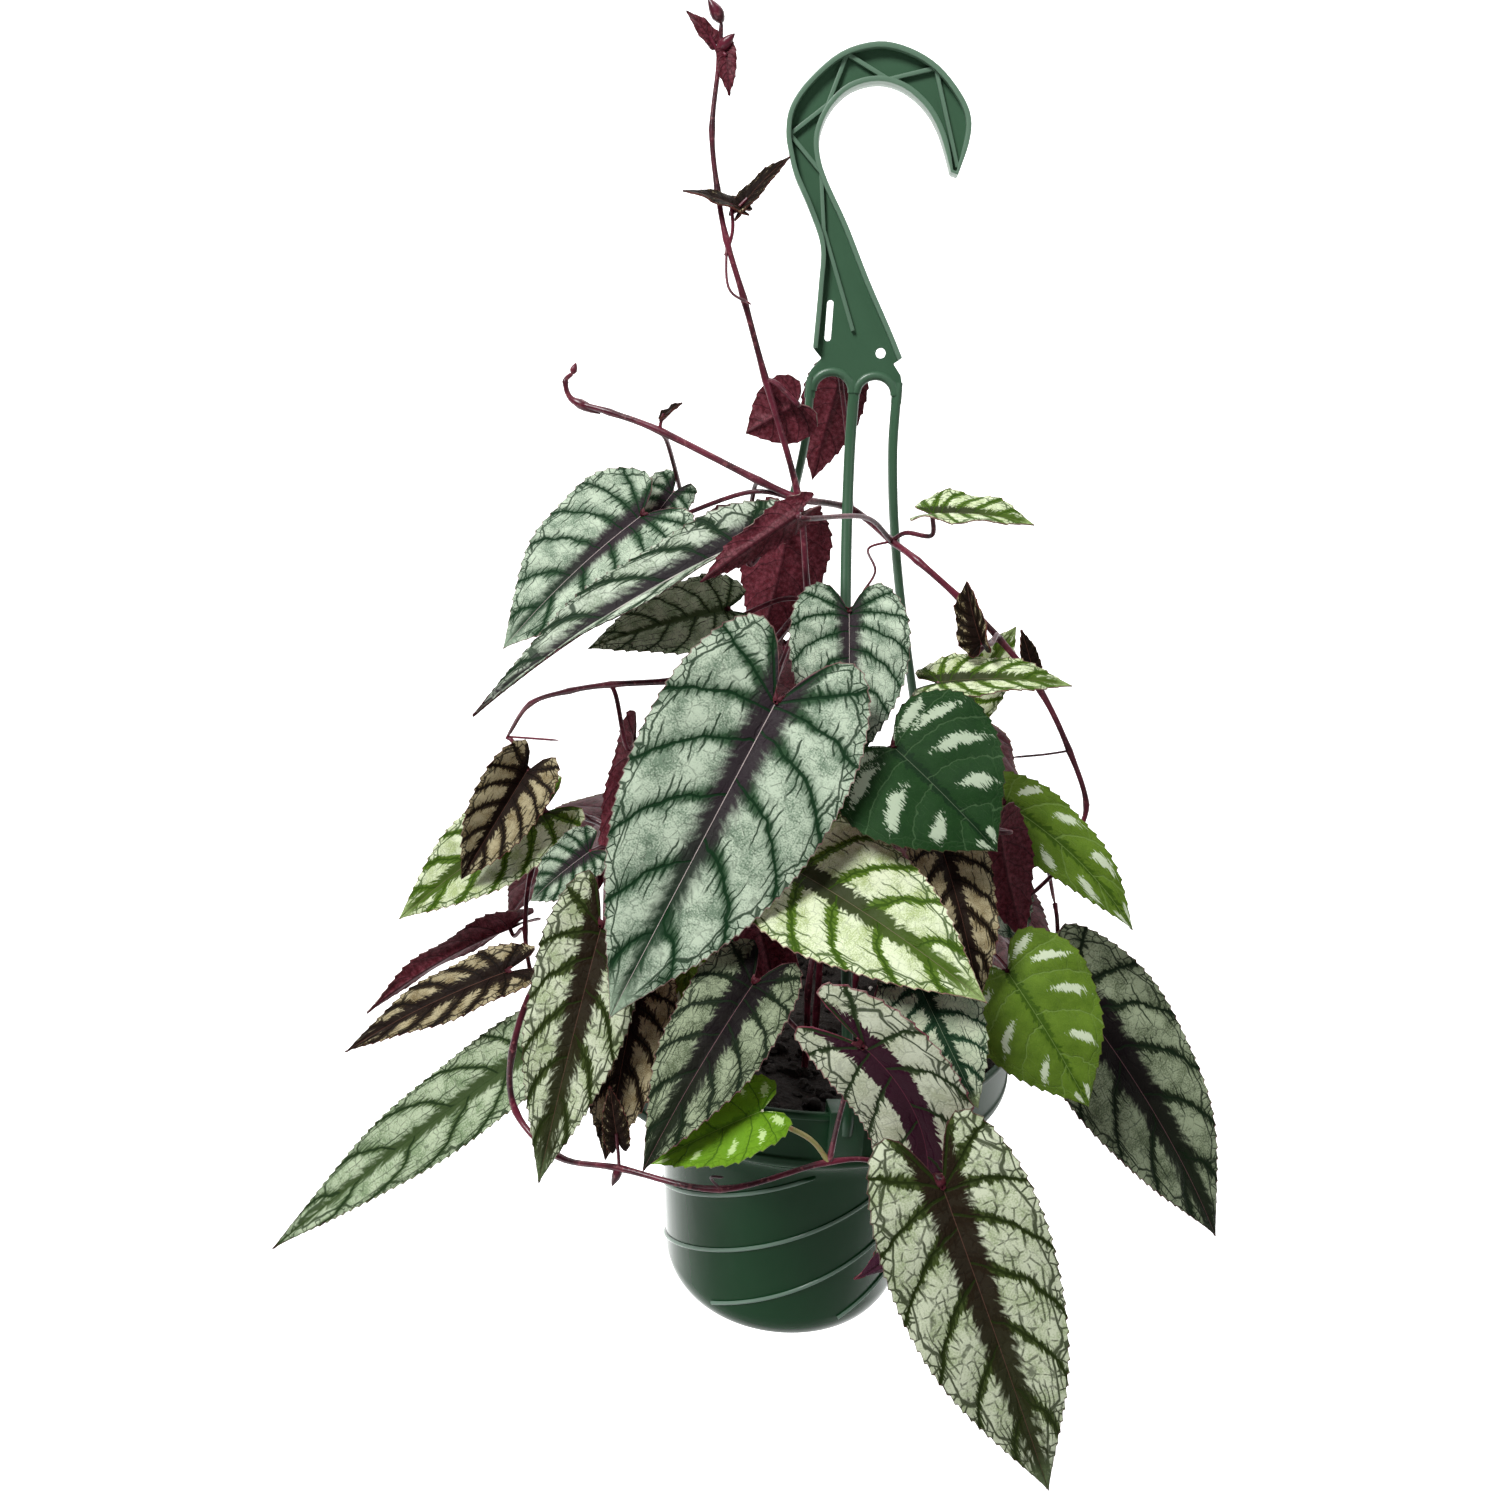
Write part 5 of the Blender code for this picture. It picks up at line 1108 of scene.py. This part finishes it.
def turned_box(name, low, high, azimuth):
    """A rounded box given by its tangent, radial and height ranges, turned to an azimuth."""
    (t0, r0, z0), (t1, r1, z1) = low, high
    sine, cosine = math.sin(azimuth), math.cos(azimuth)
    verts = [(r * sine + t * cosine, t * sine - r * cosine, z)
             for z in (z0, z1) for t, r in ((t0, r0), (t1, r0), (t1, r1), (t0, r1))]
    faces = [(0, 1, 2, 3), (4, 7, 6, 5), (0, 4, 5, 1), (1, 5, 6, 2), (2, 6, 7, 3), (3, 7, 4, 0)]
    return soften(plain(name, verts, faces), 0.4)


def strap_pieces(azimuth, start):
    """A strap, the pad on the band and the hook over the rim."""
    azimuth = math.radians(azimuth)
    radius = BAND_RADIUS + 1.6 + CLIP_THICKNESS / 2
    start = Vector((start, 0, 0))
    end = Vector((radius * math.sin(azimuth), -radius * math.cos(azimuth), 0))
    path = smooth_run([(*start.lerp(end, share).xy, z) for z, share in STRAP_FALL], 4)
    strap = plain("strap", *sweep(path, [STRAP_WIDTH / 2 * 1.08] * len(path), 14,
                                  flat=STRAP_THICKNESS / STRAP_WIDTH,
                                  side_hint=(math.cos(azimuth), math.sin(azimuth), 0)))
    half = CLIP_WIDTH / 2
    inner = BAND_RADIUS + 1.4
    top = BAND_TOP + 2.2
    inside = BAND_RADIUS - WALL - 4.0
    boxes = (("pad", inner, top - CLIP_HEIGHT, inner + CLIP_THICKNESS, top),
             ("over", inside, BAND_TOP + 0.4, inner + 0.5, top),
             ("catch", inside, BAND_TOP - 4.5, inside + 1.8, BAND_TOP + 1.0))
    return [strap] + [turned_box(name, (-half, near, low), (half, far, high), azimuth)
                      for name, near, low, far, high in boxes]


def hanger_material():
    """Mid green plastic, paler on the raised edges as a painted highlight and darker low on the straps as
    painted shade.
    """
    tree = Tree("hanger_plastic")
    place = tree.place()
    _, y, z = tree.split(place)
    # Painted highlight: the raised edges and ribs of the hook are painted paler, as if they caught the
    # light.
    raised = y.math("ABSOLUTE").step(0.0012, 0.0024) * z.step(-0.100, -0.086)
    colour = tree.mix(tree.noise(place, 60.0, 3.0), (0.046, 0.116, 0.062), (0.062, 0.142, 0.080))
    # Painted shade: the straps are painted darker low down near the pot, as if in the shadow of the leaves.
    colour = tree.mix(z.step(-0.24, -0.31), colour, (0.012, 0.052, 0.022))
    colour = tree.mix(raised, colour, (0.140, 0.240, 0.165))
    return tree.finish(colour, 0.34, bump=(tree.noise(place, 900.0), 0.15, 0.0002))


def make_hanger():
    """The hook with its raised edges and ribs, and the three straps with their clips."""
    outer, inner = [catmull(line, 4).tolist() for line in (HOOK_OUTER, HOOK_INNER)]
    foot = list(PLATE_LEFT)
    for x0, x1, rise in ARCHES:
        foot += [(x0, PLATE_FOOT), *arch(x0, x1, PLATE_FOOT + 2.0, rise), (x1, PLATE_FOOT)]
    foot += PLATE_RIGHT
    hanger = soften(flat_plate("hanger_body", outer + foot + inner, WEB / 2), 0.35)
    parts = [flange(inner + outer)]
    for chain in RIB_CHAINS:
        parts += [rib(a, b) for a, b in zip(chain, chain[1:])]
    for x0, x1, rise in ARCHES:
        bow = [(x, 0.0, z + 1.2) for x, z in arch(x0 - 1.2, x1 + 1.2, PLATE_FOOT + 1.5, rise + 0.8)]
        parts.append(plain("bow", *sweep(bow, [1.7] * len(bow), 12, side_hint=(0, 1, 0))))
    for azimuth, start in zip(STRAP_AZIMUTHS, STRAP_STARTS):
        parts += strap_pieces(azimuth, start)
    combine(hanger, parts, "UNION")
    x, z0, z1, width = SLOT
    ends = []
    for degrees in range(10, 370, 20):
        angle = math.radians(degrees)
        z = (z0 - width / 2) if degrees < 180 else (z1 + width / 2)
        ends.append((x + width / 2 * math.cos(angle), z + width / 2 * math.sin(angle)))
    hx, hz, hr = HOLE
    hole = plain("hole", *sweep(((hx, -6, hz), (hx, 6, hz)), [hr, hr], 24))
    combine(hanger, [flat_plate("slot", ends, 6), hole], "DIFFERENCE")
    smooth(hanger.data, 38)
    hanger.data.materials.append(hanger_material())
    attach(hanger, "root")
    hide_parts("hanger")


def make_soil():
    """The CAD soil with its own finish, under a layer of crumbs with perlite among them."""
    tree = Tree("soil")
    place = tree.place()
    colour = tree.mix(tree.noise(place, 300.0, 4.0), (0.004, 0.003, 0.002), (0.019, 0.012, 0.008))
    dark = tree.finish(colour, 0.95, bump=(tree.noise(place, 500.0, 4.0), 1.0, 0.002))
    white = Tree("perlite").finish((0.50, 0.48, 0.43), 0.9)
    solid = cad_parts["soil"].data
    solid.materials.clear()
    solid.materials.append(dark)
    lump = bmesh.new()
    bmesh.ops.create_icosphere(lump, subdivisions=2, radius=1.0)
    ball = [v.co.copy() for v in lump.verts]
    rings = [[v.index for v in f.verts] for f in lump.faces]
    lump.free()
    draw = random.Random(7)
    for (name, count, sizes), material in zip(SOIL_BITS, (dark, white)):
        crumbs = []
        for _ in range(count):
            reach = SOIL_REACH * math.sqrt(draw.random())
            angle = draw.uniform(0, 2 * math.pi)
            size = draw.uniform(*sizes) * draw.uniform(0.6, 1.0)
            reach = min(reach, SOIL_REACH + 0.5 - size)
            height = SOIL_TOP + SOIL_DOME - 3.4 * (reach / 80) ** 2 + size * draw.uniform(-0.2, 0.45)
            centre = Vector((reach * math.cos(angle), reach * math.sin(angle), height))
            squash = Vector((draw.uniform(0.7, 1.2), draw.uniform(0.7, 1.2), draw.uniform(0.6, 0.9)))
            shift = Vector([draw.uniform(-50, 50) for _ in range(3)])
            crumbs.append(([centre + v * squash * size * (1 + 0.55 * noise.noise(v * 1.6 + shift))
                            for v in ball], rings))
        show(name, new_mesh(name, *merged(crumbs), 40), [material])


def make_stage():
    """A pale floor that curves up into a backdrop, far below and behind the hanging pot."""
    line = [(FRONT_Y, FLOOR_Z)]
    for k in range(13):
        angle = math.pi / 2 * k / 12
        line.append((BACK_Y - BACK_BEND + BACK_BEND * math.sin(angle),
                     FLOOR_Z + BACK_BEND - BACK_BEND * math.cos(angle)))
    line.append((BACK_Y, BACK_TOP))
    verts = [(x, y, z) for y, z in line for x in (-FLOOR_HALF, FLOOR_HALF)]
    faces = [(2 * k, 2 * k + 1, 2 * k + 3, 2 * k + 2) for k in range(len(line) - 1)]
    floor = plain("floor", verts, faces)
    floor.data.shade_smooth()
    tree = Tree("floor_white")
    behind = tree.split(tree.place())[1].step(-0.3, 0.45)
    tree.finish(tree.mix(behind, (0.45, 0.45, 0.45), (0.92, 0.92, 0.92)), 0.9)
    tree.feed(tree.nodes["Principled BSDF"],
              {"Emission Color": (1.0, 1.0, 1.0), "Emission Strength": behind * 0.96})
    floor.data.materials.append(tree.material)


def make_lights():
    world = bpy.data.worlds.new("studio")
    world.use_nodes = True
    background = world.node_tree.nodes["Background"]
    background.inputs["Color"].default_value = (1.0, 1.0, 1.0, 1.0)
    background.inputs["Strength"].default_value = 0.05
    bpy.context.scene.world = world
    for name, place, target, width, height, watts in LIGHTS:
        light = bpy.data.lights.new(name, "AREA")
        light.shape = "RECTANGLE"
        light.size, light.size_y, light.energy = width, height, watts
        item = link(name, light)
        item.location = place
        item.rotation_euler = (Vector(target) - Vector(place)).to_track_quat("-Z", "Y").to_euler()


def make_camera():
    data = bpy.data.cameras.new("camera")
    data.lens = CAMERA_LENS
    data.sensor_width = 36.0
    data.clip_start = 0.01
    camera = link("camera", data)
    place = Matrix.Translation(CAMERA_PLACE)
    for axis, degrees in (("Z", CAMERA_YAW), ("X", 90.0 - CAMERA_PITCH), ("Z", CAMERA_ROLL)):
        place = place @ Matrix.Rotation(math.radians(degrees), 4, axis)
    camera.matrix_world = place
    bpy.context.scene.camera = camera


def main():
    bpy.context.scene.view_settings.view_transform = "Standard"
    looks = {kind: leaf_upper(kind) for kind in LOOKS}
    lower = leaf_under()
    make_leaves(looks, lower)
    make_stems(looks, lower)
    make_pot()
    make_hanger()
    make_soil()
    make_stage()
    make_lights()
    make_camera()


main()
